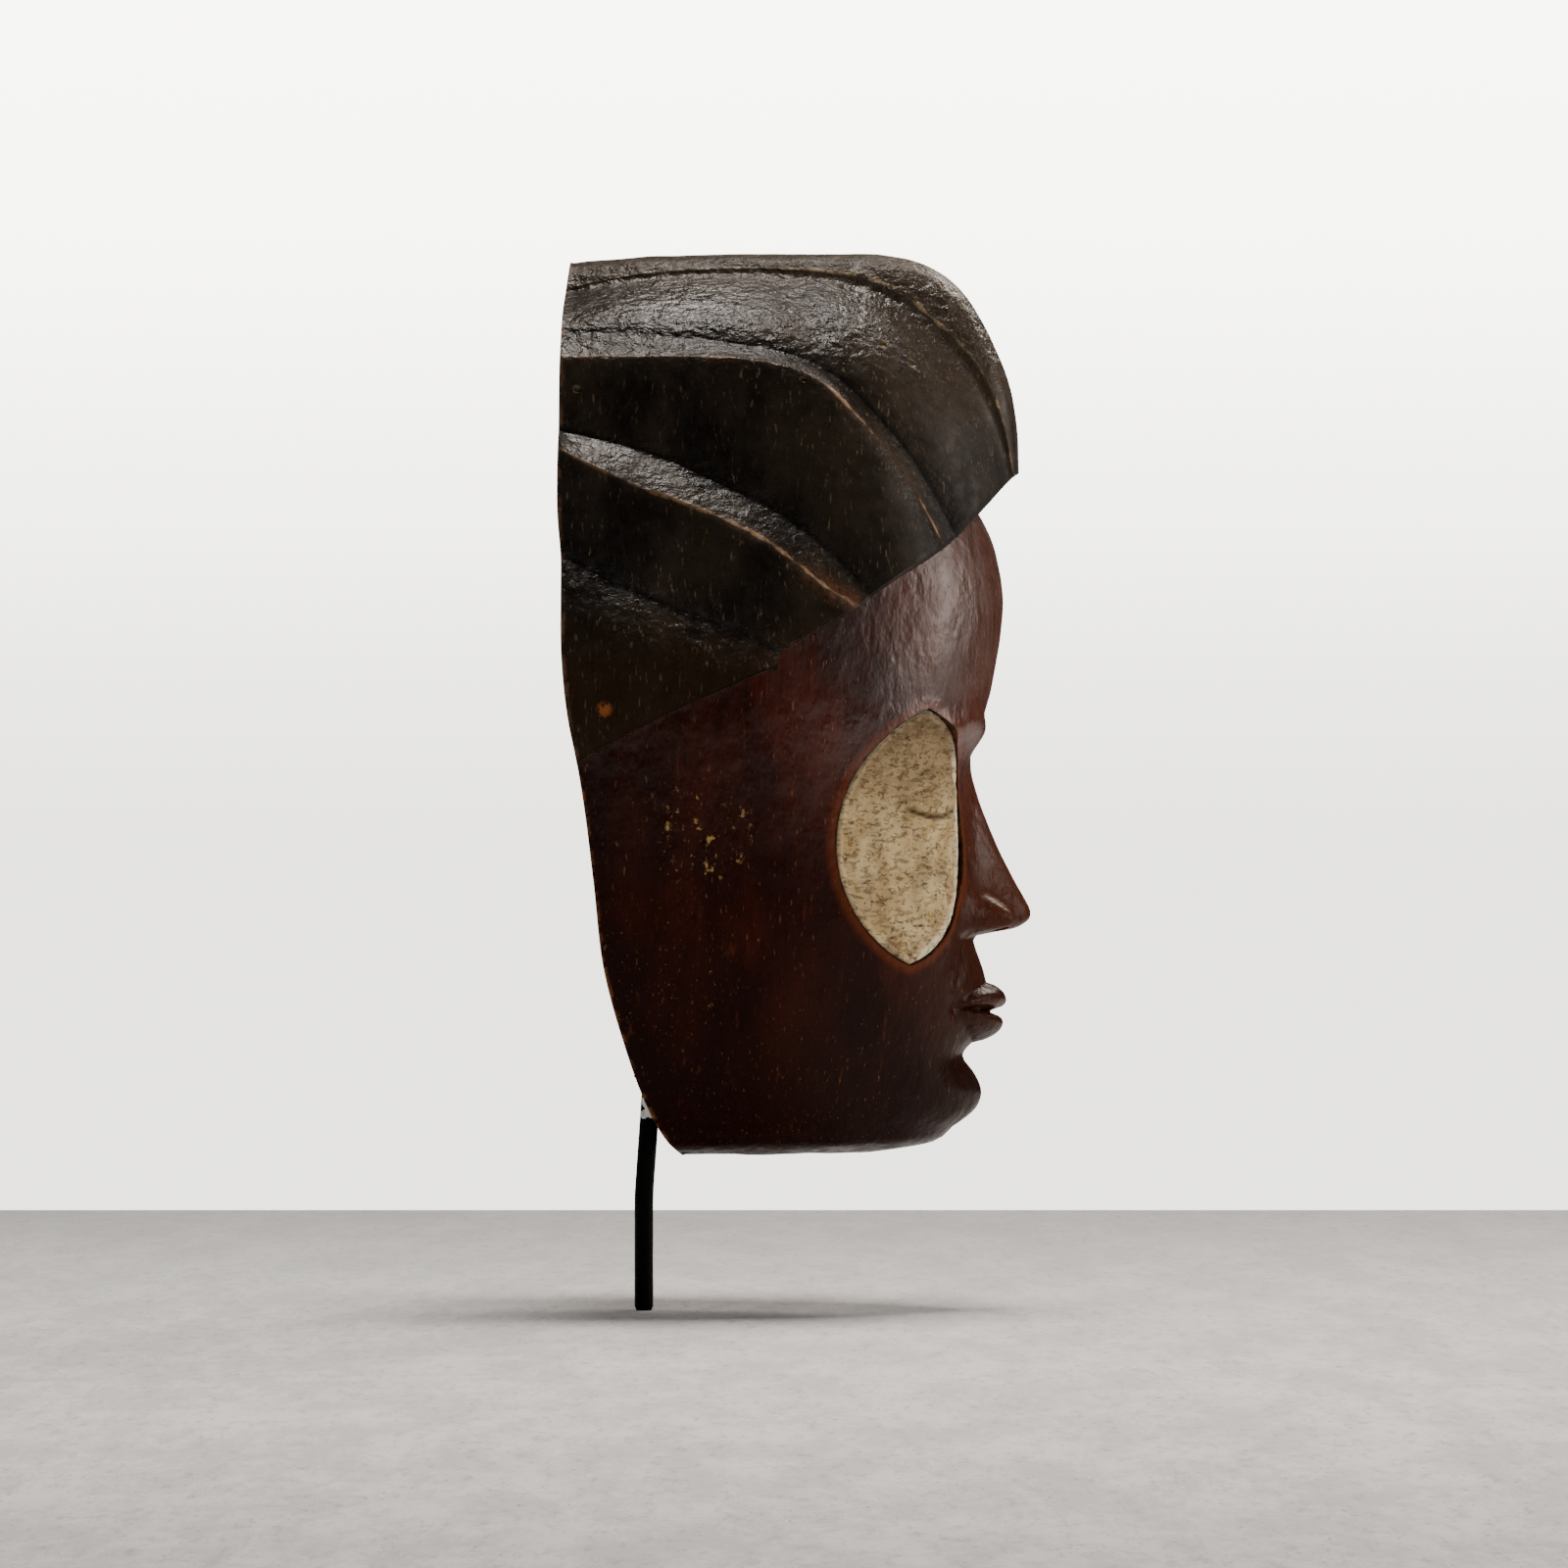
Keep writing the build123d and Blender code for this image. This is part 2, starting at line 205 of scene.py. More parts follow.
# ------------------------------------------------------------------ the plain head
WIDEST_Y = -4.0
POWER = 2.35
CHIN_Z, HAIR_Z = 50.0, 249.0
FACE_H = HAIR_Z - CHIN_Z
BROW_Z, NOSE_Z, MOUTH_Z = CHIN_Z + FACE_H * 2 / 3, CHIN_Z + FACE_H / 3, CHIN_Z + FACE_H * 2 / 9
EYE_Z = BROW_Z - FACE_H * 0.115
FACE_ROWS = (  # height, half width, front
    (CHIN_Z - 0.4, 25.0, -72.0),
    (CHIN_Z + 1.5, 33.5, -84.0),
    (CHIN_Z + 8, 41.0, -95.5),
    (CHIN_Z + 18, 48.0, -101.0),
    (CHIN_Z + 30, 54.0, -99.5),
    (MOUTH_Z, 59.0, -101.0),
    (NOSE_Z, 65.0, -102.0),
    (NOSE_Z + 26, 69.0, -100.5),
    (EYE_Z + 8, 71.0, -101.0),
    (BROW_Z + 2, 71.5, -106.5),
    (BROW_Z + 26, 70.0, -112.0),
    (BROW_Z + 46, 67.0, -112.5),
    (HAIR_Z, 63.0, -106.0),
    (HAIR_Z + 12, 58.0, -97.0),
)


def section(z, arcs, back, inset=0.0, rows=FACE_ROWS):
    """Plan points at heights z, at shares of the way from the front middle round to the back."""
    shape = smooth_table(rows, z)
    angle = np.linspace(0, np.pi / 2, 241)
    out = []
    for half, front in shape:
        half, front = half - inset, front + inset
        x = half * np.sin(angle) ** (2 / POWER)
        y = WIDEST_Y - (WIDEST_Y - front) * np.abs(np.cos(angle)) ** (2 / POWER)
        x, y = np.append(x, half), np.append(y, back)
        length = np.concatenate(([0], np.cumsum(np.hypot(np.diff(x), np.diff(y)))))
        spots = np.abs(arcs) * length[-1]
        out.append(np.column_stack((np.sign(arcs) * np.interp(spots, length, x), np.interp(spots, length, y))))
    return np.array(out)


def surface_hit(spots, way, inset=0.0):
    """Moves points along a level direction until they lie on the plain head."""
    spots = spots.copy()
    low, high = np.full(len(spots), -40.0), np.full(len(spots), 60.0)
    shape = smooth_table(FACE_ROWS, spots[:, 2])
    half, front = shape[:, 0] - inset, shape[:, 1] + inset
    for _ in range(34):
        mid = (low + high) / 2
        x, y = spots[:, 0] + way[0] * mid, spots[:, 1] + way[1] * mid
        ahead = np.clip((WIDEST_Y - y) / (WIDEST_Y - front), 0, None)
        inside = (np.abs(x) / half) ** POWER + ahead**POWER < 1
        low, high = np.where(inside, mid, low), np.where(inside, high, mid)
    spots[:, 0] += way[0] * low
    spots[:, 1] += way[1] * low
    return spots


def features(x, z):
    """How far the nose, mouth, chin, brow and cheeks stand ahead of the plain head, in millimetres."""
    side = np.abs(x)
    # nose: a ridge that widens into two wings and turns under sharply at its base
    down = np.clip((BROW_Z - 8 - z) / (BROW_Z - 8 - 122.5), 0, 1)
    rise = 20.5 * down**1.08 * np.sqrt(1 - (np.clip(127 - z, 0, 9.4) / 9.5) ** 2)
    half = 6.6 + 5.4 * down**2
    bridge = rise * np.exp(-((side / half) ** 2.2))
    flank = 0.45 * rise * np.exp(-((side / (half * 1.8)) ** 2))
    wing = 14.0 * np.exp(-(((side - 12.0) / 6.0) ** 2) - ((z - 123.0) / 7.6) ** 2)
    nose = (bridge**3 + flank**3 + wing**3) ** (1 / 3)
    base_z = 117.8 - 0.9 * hill(side, 0, 5) + 0.5 * hill(side, 11, 5)
    nose *= ease(z, base_z - 1.5, base_z + 3.0) * (1 - ease(side, 18.5, 25.0))
    # muzzle, philtrum, lips
    line_z = MOUTH_Z + 0.0028 * side**2 - 0.5 * hill(side, 0, 5)
    reach = np.clip(1 - (side / 22.5) ** 2, 0, 1)
    muzzle = 7.5 * np.exp(-((side / 21) ** 2) - ((z - MOUTH_Z - 2) / 16) ** 2)
    up_h = 8.6 * reach**0.62 - 1.1 * hill(side, 0, 2.6) + 0.5 * hill(side, 5.2, 3) + 0.01
    low_h = 9.6 * reach**0.7 + 0.01
    up = np.clip((z - line_z) / up_h, 0, 1)
    low = np.clip((line_z - z) / low_h, 0, 1)
    upper = 5.4 * reach**0.55 * (4 * up * (1 - up)) ** 0.55
    lower = 6.2 * reach**0.6 * (4 * low * (1 - low)) ** 0.55
    lips = np.where(z > line_z, upper, lower)
    seam = -2.0 * np.clip(1 - (side / 24.5) ** 2, 0, 1) ** 0.5 * hill(z, line_z, 0.9)
    corner = -1.6 * np.exp(-(((side - 23.2) / 3.0) ** 2) - ((z - MOUTH_Z - 1.4) / 3.2) ** 2)
    philtrum = (-1.3 * hill(side, 0, 2.6) + 0.6 * hill(side, 5.0, 2.0)) * hill(z, 108.5, 5.0)
    # chin
    chin = 5.0 * np.exp(-((side / 15) ** 2) - ((z - 66) / 9.5) ** 2)
    fold = -2.6 * np.exp(-((side / 15) ** 2) - ((z - 80.5) / 3.6) ** 2)
    # brow arch, cheek bone and the crease beside the nose
    arch_z = BROW_Z - 4.0 + 5.5 * hill(side, 27, 17)
    brow = 2.4 * hill(z, arch_z, 5.0) * ease(side, 4, 13) * (1 - ease(side, 46, 62))
    cheek = 2.0 * np.exp(-(((side - 46) / 15) ** 2) - ((z - 134) / 17) ** 2)
    crease_x = 16.5 + 0.42 * (121 - z)
    crease = -1.1 * hill(side, crease_x, 2.6) * ease(z, 96, 106) * (1 - ease(z, 119, 126))
    return nose + muzzle + lips + seam + corner + philtrum + chin + fold + brow + cheek + crease


def face_blank():
    """The whole head with its face, before the coiffure, the hollow and the panels."""
    heights = np.concatenate((
        np.linspace(CHIN_Z - 0.4, CHIN_Z + 3, 6)[:-1],
        np.arange(CHIN_Z + 3, 80, 1.5),
        np.arange(80, 112, 0.8),
        np.arange(112, 124, 0.5),
        np.arange(124, 200, 1.35),
        np.arange(200, 259, 2.2),
    ))
    near = np.linspace(0, 0.34, 62)
    far = 0.34 + 0.66 * np.linspace(0, 1, 48)[1:] ** 1.06
    half = np.concatenate((near, far))
    arcs = np.concatenate((-half[::-1], half[1:]))
    plan = section(heights, arcs, 40.0)
    z = np.repeat(heights[:, None], len(arcs), axis=1)
    x, y = plan[..., 0], plan[..., 1]
    faced = ease(-y, 40, 80)
    y = y - features(x, z) * faced
    return closed_loft("carved_block", np.stack((x, y, z), axis=-1).reshape(-1, 3), *z.shape)


# ------------------------------------------------------------------ the coiffure
# carved lines in the side view as (y, z), from beyond the back rim to the hairline
HAIR_LINES = {
    "top": ((30, 328.5), (2, 331), (-28.5, 332), (-59, 331.8), (-87, 330.6), (-98, 325), (-106, 312.8),
            (-112.2, 300), (-117.2, 285), (-118.6, 272.5), (-117.8, 262.6)),
    "crest": ((30, 318), (14, 322.4), (1, 324.6), (-19, 326), (-41, 326.3), (-57.5, 325.4), (-68, 323.8),
              (-81.5, 318.8), (-88.3, 312.6), (-104.5, 296.8), (-110.2, 285.5), (-113.8, 274.8), (-115.9, 261.4)),
    "groove_1": ((30, 305.6), (8.6, 304.8), (-7, 303.9), (-19.4, 302.8), (-31.7, 301), (-46, 298.6),
                 (-59, 292.6), (-67.3, 284.8), (-78, 273), (-86.6, 261.8), (-92.2, 251.2), (-97.4, 241.2)),
    "ridge_1": ((30, 297.2), (14, 297.2), (-32, 296.6), (-41, 295.7), (-55, 291), (-62.8, 283.4),
                (-73.9, 271.4), (-82.8, 260.3), (-88.3, 249.5), (-94.2, 238.2)),
    "groove_2": ((30, 275), (8.6, 270.4), (-8, 265.3), (-24.3, 257.4), (-41, 249.6), (-52, 241.8),
                 (-62.8, 232), (-71.5, 222.6)),
    "ridge_2": ((30, 271.2), (14.2, 263), (-0.3, 256.4), (-13.5, 251.8), (-29.8, 245), (-41, 238.6),
                (-49.8, 232), (-58, 225), (-68.5, 219.8)),
    "groove_3": ((30, 238.6), (17.2, 231.4), (11, 228.3), (1.5, 223.8), (-7.7, 220), (-17.2, 216.3),
                 (-26.8, 212.6), (-36, 209.2), (-43.5, 205.4)),
    "ridge_3": ((30, 223.5), (17.2, 218), (8, 213.6), (-0.3, 209.4), (-7.7, 206.3), (-17.2, 203.4),
                (-26.8, 201.4), (-36, 200.6), (-41.5, 201.2)),
    "hairline": ((34, 160.5), (19, 170.8), (4.6, 179.2), (-7.7, 185.8), (-20.3, 191.6), (-31, 196.6), (-40.5, 200.6)),
}
HAIR_HALF_WIDTHS = {  # share of the way forwards, half width
    "top": ((0, 0.0), (1, 0.0)),
    "crest": ((0, 19.5), (1, 17.5)),
    "groove_1": ((0, 46.5), (0.5, 46.5), (0.75, 44.0), (1, 39.0)),
    "ridge_1": ((0, 54.0), (0.45, 53.6), (0.75, 50.2), (1, 43.8)),
    "groove_2": ((0, 55.5), (0.5, 57.6), (1, 60.4)),
    "ridge_2": ((0, 64.2), (0.5, 65.2), (0.85, 64.4), (1, 62.4)),
    "groove_3": ((0, 65.2), (0.5, 67.8), (1, 69.8)),
    "ridge_3": ((0, 72.0), (0.6, 72.8), (1, 71.4)),
    "hairline": ((0, 74.2), (0.5, 74.0), (1, 71.6)),
}
HAIR_CAGE = (  # from line, to line, then rows of share of the way down, share of the way out, crease
    ("top", "top", (0, 0, 0)),
    ("top", "crest", (0.08, 0.45, 0), (0.34, 0.84, 0)),
    ("crest", "crest", (0, 0, 0.75)),
    ("crest", "groove_1", (0.1, -0.01, 0), (0.27, 0.3, 0), (0.5, 0.64, 0), (0.75, 0.89, 0), (0.93, 0.98, 0)),
    ("groove_1", "groove_1", (0, 0, 0.7)),
    ("groove_1", "ridge_1", (0.68, 0.6, 0)),
    ("ridge_1", "ridge_1", (0, 0, 0.55)),
    ("ridge_1", "groove_2", (0.06, 0.3, 0), (0.4, 0.75, 0), (0.75, 0.98, 0), (0.95, 1.0, 0)),
    ("groove_2", "groove_2", (0, 0, 0.8)),
    ("groove_2", "ridge_2", (0.7, 0.72, 0)),
    ("ridge_2", "ridge_2", (0, 0, 0.55)),
    ("ridge_2", "groove_3", (0.06, 0.3, 0), (0.5, 0.72, 0), (0.93, 0.92, 0)),
    ("groove_3", "groove_3", (0, 0, 0.75)),
    ("groove_3", "ridge_3", (0.45, 0.5, 0)),
    ("ridge_3", "ridge_3", (0, 0, 0.1)),
    ("ridge_3", "hairline", (0.3, 0.55, 0), (0.8, 0.95, 0)),
    ("hairline", "hairline", (0, 0, 1)),
)
HAIR_ROWS = [(start, end, *row) for start, end, *group in HAIR_CAGE for row in group]
STATIONS = 13


def hair_line(name, count):
    """A carved line of the coiffure in space, on the left side."""
    shares = np.linspace(0, 1, count)
    flat = along(HAIR_LINES[name], shares)
    return np.column_stack((smooth_table(HAIR_HALF_WIDTHS[name], shares), flat))


def coiffure_solid():
    """The combed-back hair: a creased cage through the carved lines, mirrored and smoothed."""
    lines = {name: hair_line(name, STATIONS) for name in HAIR_LINES}
    rows = []
    for start, end, down, out, _ in HAIR_ROWS:
        a, b = lines[start], lines[end]
        row = a + (b - a) * down
        row[:, 0] = a[:, 0] + (b[:, 0] - a[:, 0]) * out
        rows.append(row)
    cage = np.array(rows)
    bpy.ops.mesh.primitive_grid_add(x_subdivisions=STATIONS - 1, y_subdivisions=len(rows) - 1, size=1)
    hair = bpy.context.object
    hair.name = "coiffure_cage"
    place_points(hair, cage.reshape(-1, 3))
    last_row, last_col = len(rows) - 1, STATIONS - 1
    bpy.ops.object.mode_set(mode="EDIT")
    bpy.ops.mesh.select_all(action="DESELECT")
    bpy.ops.object.mode_set(mode="OBJECT")
    crease = hair.data.attributes.new("crease_edge", "FLOAT", "EDGE")
    for edge in hair.data.edges:
        (r0, c0), (r1, c1) = (divmod(v, STATIONS) for v in edge.vertices)
        if r0 == r1:
            crease.data[edge.index].value = HAIR_ROWS[r0][4]
        border = (r0 == r1 == last_row) or (c0 == c1 == 0) or (c0 == c1 == last_col)
        edge.select = border
        if border:
            crease.data[edge.index].value = 0.9
    bpy.ops.object.mode_set(mode="EDIT")
    bpy.ops.mesh.select_mode(type="EDGE")
    bpy.ops.mesh.extrude_edges_move()
    bpy.ops.transform.resize(value=(0, 1, 1), center_override=(0, 0, 0))
    bpy.ops.mesh.select_all(action="SELECT")
    bpy.ops.mesh.remove_doubles(threshold=1e-5)
    bpy.ops.object.mode_set(mode="OBJECT")
    finish_with(hair, "MIRROR", use_axis=(True, False, False), use_mirror_merge=True, merge_threshold=1e-5)
    outward(hair)
    finish_with(hair, "SUBSURF", levels=3, render_levels=3)
    return hair


# ------------------------------------------------------------------ cutters
def side_plate(name, curve, corners, half):
    """A plate across the mask whose outline in the side view is a curve closed by straight lines."""
    outline = [tuple(p) for p in along(curve, np.linspace(0, 1, 90))] + list(corners)
    count = len(outline)
    points = [(-half, y, z) for y, z in outline] + [(half, y, z) for y, z in outline]
    faces = [tuple(range(count)), tuple(range(2 * count - 1, count - 1, -1))]
    faces += [(i, i + count, (i + 1) % count + count, (i + 1) % count) for i in range(count)]
    plate = make_piece(name, points, faces)
    outward(plate)
    return plate


RIM_LINE = (
    (22.6, 340), (22.9, 329), (24.2, 318), (25.0, 303), (25.5, 273), (25.6, 247), (24.6, 235), (24.5, 222),
    (24.3, 205), (22.4, 186), (19.4, 171), (17.6, 160), (14.6, 136), (11.2, 107), (5.6, 86), (-0.8, 67.5),
    (-4.8, 59), (-7.6, 54.6), (-13, 49),
)
ABOVE_HAIR = (
    (38, 160), (19, 173.8), (-8, 189.5), (-41, 205), (-60, 216.5), (-74, 227.5), (-88, 238), (-106, 254.5), (-120, 268),
)

HOLLOW_ROWS = (
    (88.0, 9.0, -9.0),
    (90.5, 20.0, -17.0),
    (101.0, 35.0, -42.0),
    (116.0, 47.0, -64.0),
    (136.0, 54.0, -75.0),
    (165.0, 57.0, -79.0),
    (194.0, 56.0, -76.0),
    (213.0, 52.0, -66.0),
    (229.0, 43.0, -48.0),
    (239.5, 28.0, -28.0),
    (242.0, 14.0, -14.0),
)


def hollow_cutter():
    """The inside of the mask, with the shallow flats that a gouge leaves."""
    heights = np.linspace(HOLLOW_ROWS[0][0], HOLLOW_ROWS[-1][0], 84)
    half = np.linspace(0, 1, 44)
    arcs = np.concatenate((-half[::-1], half[1:]))
    plan = section(heights, arcs, 45.0, rows=HOLLOW_ROWS)
    z = np.repeat(heights[:, None], len(arcs), axis=1)
    points = np.stack((plan[..., 0], plan[..., 1], z), axis=-1).reshape(-1, 3)
    strokes = waves(points * (1, 1, 0.42), 11.0, 3.0) + 0.5 * waves(points * (1, 1, 0.6), 5.5, 8.0)
    middle = np.array((0, 5.0, 0))
    away = (points - middle) * (1, 1, 0)
    away /= np.maximum(np.linalg.norm(away, axis=1, keepdims=True), 1e-6)
    points = points + away * (strokes * 0.9 - 0.6)[:, None]
    return closed_loft("hollow", points, *z.shape)


# ------------------------------------------------------------------ the eye panels
PANEL_TURN = math.radians(42)
PANEL_X, PANEL_Y, PANEL_Z = 43.0, -84.0, EYE_Z - 11.0
PANEL_WIDTH, PANEL_HEIGHT = 58.0, 0.4 * FACE_H
EYE_ACROSS, EYE_UP = -10.5, 11.0  # middle of the closed eye on the panel
LEAF_HALF_W, LEAF_HALF_H = PANEL_WIDTH / 2, PANEL_HEIGHT / 2
LEAF_R = (LEAF_HALF_W**2 + LEAF_HALF_H**2) / (2 * LEAF_HALF_W)


def leaf_edge(across, up):
    """Distance in from the leaf outline of a panel, in millimetres."""
    return LEAF_R - np.hypot(np.abs(across) + LEAF_R - LEAF_HALF_W, up)


def leaf(side, shrink, rows, cols):
    """Grid on an upright leaf outline: places across and up the panel, and points on its plane."""
    half_w, half_h = LEAF_HALF_W - shrink, LEAF_HALF_H - shrink
    radius = (half_w**2 + half_h**2) / (2 * half_w)
    up = -half_h * np.cos(np.linspace(0, np.pi, rows))
    wide = np.sqrt(np.maximum(radius**2 - up**2, 0)) - (radius - half_w)
    across = np.sin(np.linspace(-np.pi / 2, np.pi / 2, cols))
    a = wide[:, None] * across[None, :]
    b = np.repeat(up[:, None], cols, axis=1)
    edge = np.maximum(np.abs(across)[None, :] * np.ones_like(a), np.abs(b) / half_h)
    cos, sin = math.cos(PANEL_TURN), math.sin(PANEL_TURN)
    points = np.stack((side * (PANEL_X + a * cos), PANEL_Y + a * sin, PANEL_Z + b), axis=-1)
    return a, b, edge, points.reshape(-1, 3), (side * sin, -cos)


def on_panel(spots, side):
    """Places across and up a panel of points anywhere on it."""
    cos, sin = math.cos(PANEL_TURN), math.sin(PANEL_TURN)
    return (spots[:, 0] * side - PANEL_X) * cos + (spots[:, 1] - PANEL_Y) * sin, spots[:, 2] - PANEL_Z


def panel_floor(edge):
    """Depth of the carved panel under the plain head: a flat facet, deepest in its middle."""
    return 1.9 + 1.8 * (1 - edge**2)


def skin_pair(name, outer, inner, rows, cols):
    """A closed shell between two grids that share an outline."""
    count = rows * cols
    faces = []
    for quad in quads(rows, cols):
        faces += [quad, tuple(v + count for v in reversed(quad))]
    border = list(range(cols)) + [r * cols + cols - 1 for r in range(1, rows)]
    border += [(rows - 1) * cols + c for c in range(cols - 2, -1, -1)] + [r * cols for r in range(rows - 2, 0, -1)]
    for here, there in zip(border, border[1:] + border[:1]):
        faces.append((here, there, there + count, here + count))
    shell = make_piece(name, np.concatenate((outer, inner)), faces)
    outward(shell)
    bpy.ops.object.mode_set(mode="EDIT")
    bpy.ops.mesh.dissolve_degenerate(threshold=2e-6)
    bpy.ops.object.mode_set(mode="OBJECT")
    return shell


def panel_cutter(side):
    """What is cut away for a panel: from clear of the head in to the panel's floor."""
    rows, cols = 70, 44
    _, _, edge, points, way = leaf(side, 0.0, rows, cols)
    outer = surface_hit(points, way, -12.0)
    inner = surface_hit(points, way, panel_floor(edge).ravel())
    return skin_pair("panel_cut", outer, inner, rows, cols)


def lash_line(across):
    """Height of the closed eye's line over the middle of the eye."""
    return -2.0 - 2.6 * np.clip(1 - (across / 14.0) ** 2, 0, 1)


def kaolin_coat(name, side):
    """The clay coat on a panel, with a closed eye modelled in it."""
    rows, cols = 150, 120
    a, b, edge, points, way = leaf(side, 0.35, rows, cols)
    across, up = a - EYE_ACROSS, b - EYE_UP
    oval = np.clip(1 - (across / 15.5) ** 2 - (up / 10.5) ** 2, 0, 1)
    lid = 3.4 * oval**0.8
    lash_up = lash_line(across)
    reach = np.clip(1 - (across / 14.6) ** 2, 0, 1) ** 0.5
    slit = -1.9 * reach * hill(up, lash_up, 0.8)
    lower_lid = 0.6 * reach * hill(up, lash_up - 1.8, 1.1)
    fold = -0.5 * hill(up, 5.6 - 0.028 * across**2, 0.9) * ease(15 - np.abs(across), 0, 4)
    thick = 1.3 + lid + slit + lower_lid + fold
    lip = 0.35 * hill(leaf_edge(a, b), 1.5, 0.8)  # the coat stands up a little along its edge
    thick = (thick + lip) * ease(1 - edge, -0.06, 0.02) + 0.25
    pitted = waves(points, 3.0, 5.0 + side).reshape(a.shape)
    fine = waves(points * (1, 1, 1.8), 1.5, 9.0 + side).reshape(a.shape)
    thick = thick - 0.3 * np.clip(pitted - 0.1, 0, 1) - 0.5 * np.clip(fine - 0.2, 0, 1)
    floor = panel_floor(edge)
    outer = surface_hit(points, way, (floor - np.maximum(thick, 0.2)).ravel())
    inner = surface_hit(points, way, (floor + 0.05).ravel())
    return skin_pair(name, outer, inner, rows, cols)


# ------------------------------------------------------------------ the rod's frame
ROD_R, ROD_STRAIGHT, ROD_BEND_R, ROD_UPPER = 3.0, 32.0, 120.0, 226.0
LEAN = math.radians(4)
BEND_TOP = np.array((0, ROD_BEND_R * (math.cos(LEAN) - 1), ROD_STRAIGHT + ROD_BEND_R * math.sin(LEAN)))
UP_ROD = np.array((0, -math.sin(LEAN), math.cos(LEAN)))
BEHIND_ROD = np.array((0, math.cos(LEAN), math.sin(LEAN)))
GLUE_LUMPS = (  # out to the side, backwards, up the lean, radius
    (3.6, -0.6, 22.5, 2.2),
    (3.8, 0.2, 25.5, 2.7),
    (3.5, 0.4, 28.5, 2.3),
    (4.6, -1.4, 24.2, 1.6),
    (2.6, 1.6, 21.2, 1.4),
)


def by_rod(across, behind, up):
    """A point given across, behind and up the leaning stretch of the rod, in millimetres."""
    return np.array((across, 0, 0)) + BEND_TOP + BEHIND_ROD * behind + UP_ROD * up


def rod_cylinder(name, start, end, radius):
    bpy.ops.mesh.primitive_cylinder_add(
        vertices=40,
        radius=radius * MM,
        depth=(end - start) * MM,
        location=by_rod(0, 0, (start + end) / 2) * MM,
        rotation=(LEAN, 0, 0),
    )
    bar = bpy.context.object
    bar.name = name
    bpy.ops.object.transform_apply()
    return bar


def seat_cutter():
    bpy.ops.mesh.primitive_cube_add(size=1, location=by_rod(0, 25, 34) * MM, rotation=(LEAN, 0, 0))
    seat = bpy.context.object
    seat.scale = (44 * MM, 50 * MM, 36 * MM)
    bpy.ops.object.transform_apply()
    finish_with(seat, "BEVEL", width=1.2 * MM, segments=3)
    return seat


def ball(place, radii, turn=(0, 0, 0), segments=32):
    """A ball-shaped cutter or lump at a place in millimetres."""
    bpy.ops.mesh.primitive_uv_sphere_add(
        segments=segments, ring_count=segments * 5 // 8, radius=1, location=Vector(place) * MM, rotation=turn
    )
    lump = bpy.context.object
    lump.scale = Vector(radii) * MM
    bpy.ops.object.transform_apply()
    return lump


def skin_of(piece):
    mesh = piece.data
    return BVHTree.FromPolygons([v.co for v in mesh.vertices], [p.vertices for p in mesh.polygons])


def lies_on(skin, spots):
    """Which of some points, in metres, lie on a skin."""
    return np.array([skin.find_nearest(Vector(s), 1.2e-4)[0] is not None for s in spots])


def joined(pieces):
    """Solids that stand apart, made one object."""
    only(pieces[0])
    for piece in pieces:
        piece.select_set(True)
    bpy.ops.object.join()
    return pieces[0]


DENTS = (  # knocks in the coiffure on the right side: y, z, size
    (-74.8, 302.0, 1.9),
    (-84.0, 296.0, 1.8),
    (20.0, 287.0, 1.5),
    (-50.0, 290.0, 1.1),
)


# ------------------------------------------------------------------ the carved block
block = face_blank()
carve(block, side_plate("above", ABOVE_HAIR, ((-150, 268), (-150, 360), (60, 360), (60, 160)), 100))
hair = coiffure_solid()
plain_skin = skin_of(hair)
dents, dent_places = [], []
for y, z, size in DENTS:
    hit = plain_skin.ray_cast(Vector((-0.2, y * MM, z * MM)), Vector((1, 0, 0)))[0]
    centre = (hit.x / MM - size * 0.25, y, z)
    dent_places.append((centre, size))
    dents.append(ball(centre, (size * 0.7, size, size * 0.62), (math.radians(18), 0, 0), 20))
carve(hair, joined(dents))
hair_skin = skin_of(hair)
carve(block, hair, "UNION")
rim_plate = side_plate("rim", RIM_LINE, ((90, 49), (90, 340)), 100)
raw_skins = [skin_of(rim_plate)]
carve(block, rim_plate)
groove = rod_cylinder("groove", -2, 54, 3.2)
raw_skins.append(skin_of(groove))
for cutter in (hollow_cutter(), joined([seat_cutter(), rod_cylinder("socket", 186, 227, 3.5)])):
    raw_skins.append(skin_of(cutter))
    carve(block, cutter)
carve(block, groove)
panels = joined([panel_cutter(-1), panel_cutter(1)])
recess_skin = skin_of(panels)
nostrils = [
    ball((side * 6.2, -112.5, 117.2), (3.0, 4.2, 3.4), (math.radians(-22), 0, side * math.radians(14)))
    for side in (-1, 1)
]
carve(block, joined([panels] + nostrils))

FACE_WOOD, HAIR_WOOD, RAW_WOOD = 0, 1, 2

centres = np.empty(len(block.data.polygons) * 3)
block.data.polygons.foreach_get("center", centres)
centres = centres.reshape(-1, 3)
kind = np.where(lies_on(hair_skin, centres), HAIR_WOOD, FACE_WOOD)
for skin in raw_skins:
    kind = np.where(lies_on(skin, centres), RAW_WOOD, kind)
fixed = np.zeros(len(block.data.vertices), bool)  # points of the hollow, rim, seat and recesses
for polygon, wood, sunk in zip(block.data.polygons, kind, lies_on(recess_skin, centres)):
    if wood == RAW_WOOD or sunk:
        fixed[list(polygon.vertices)] = True

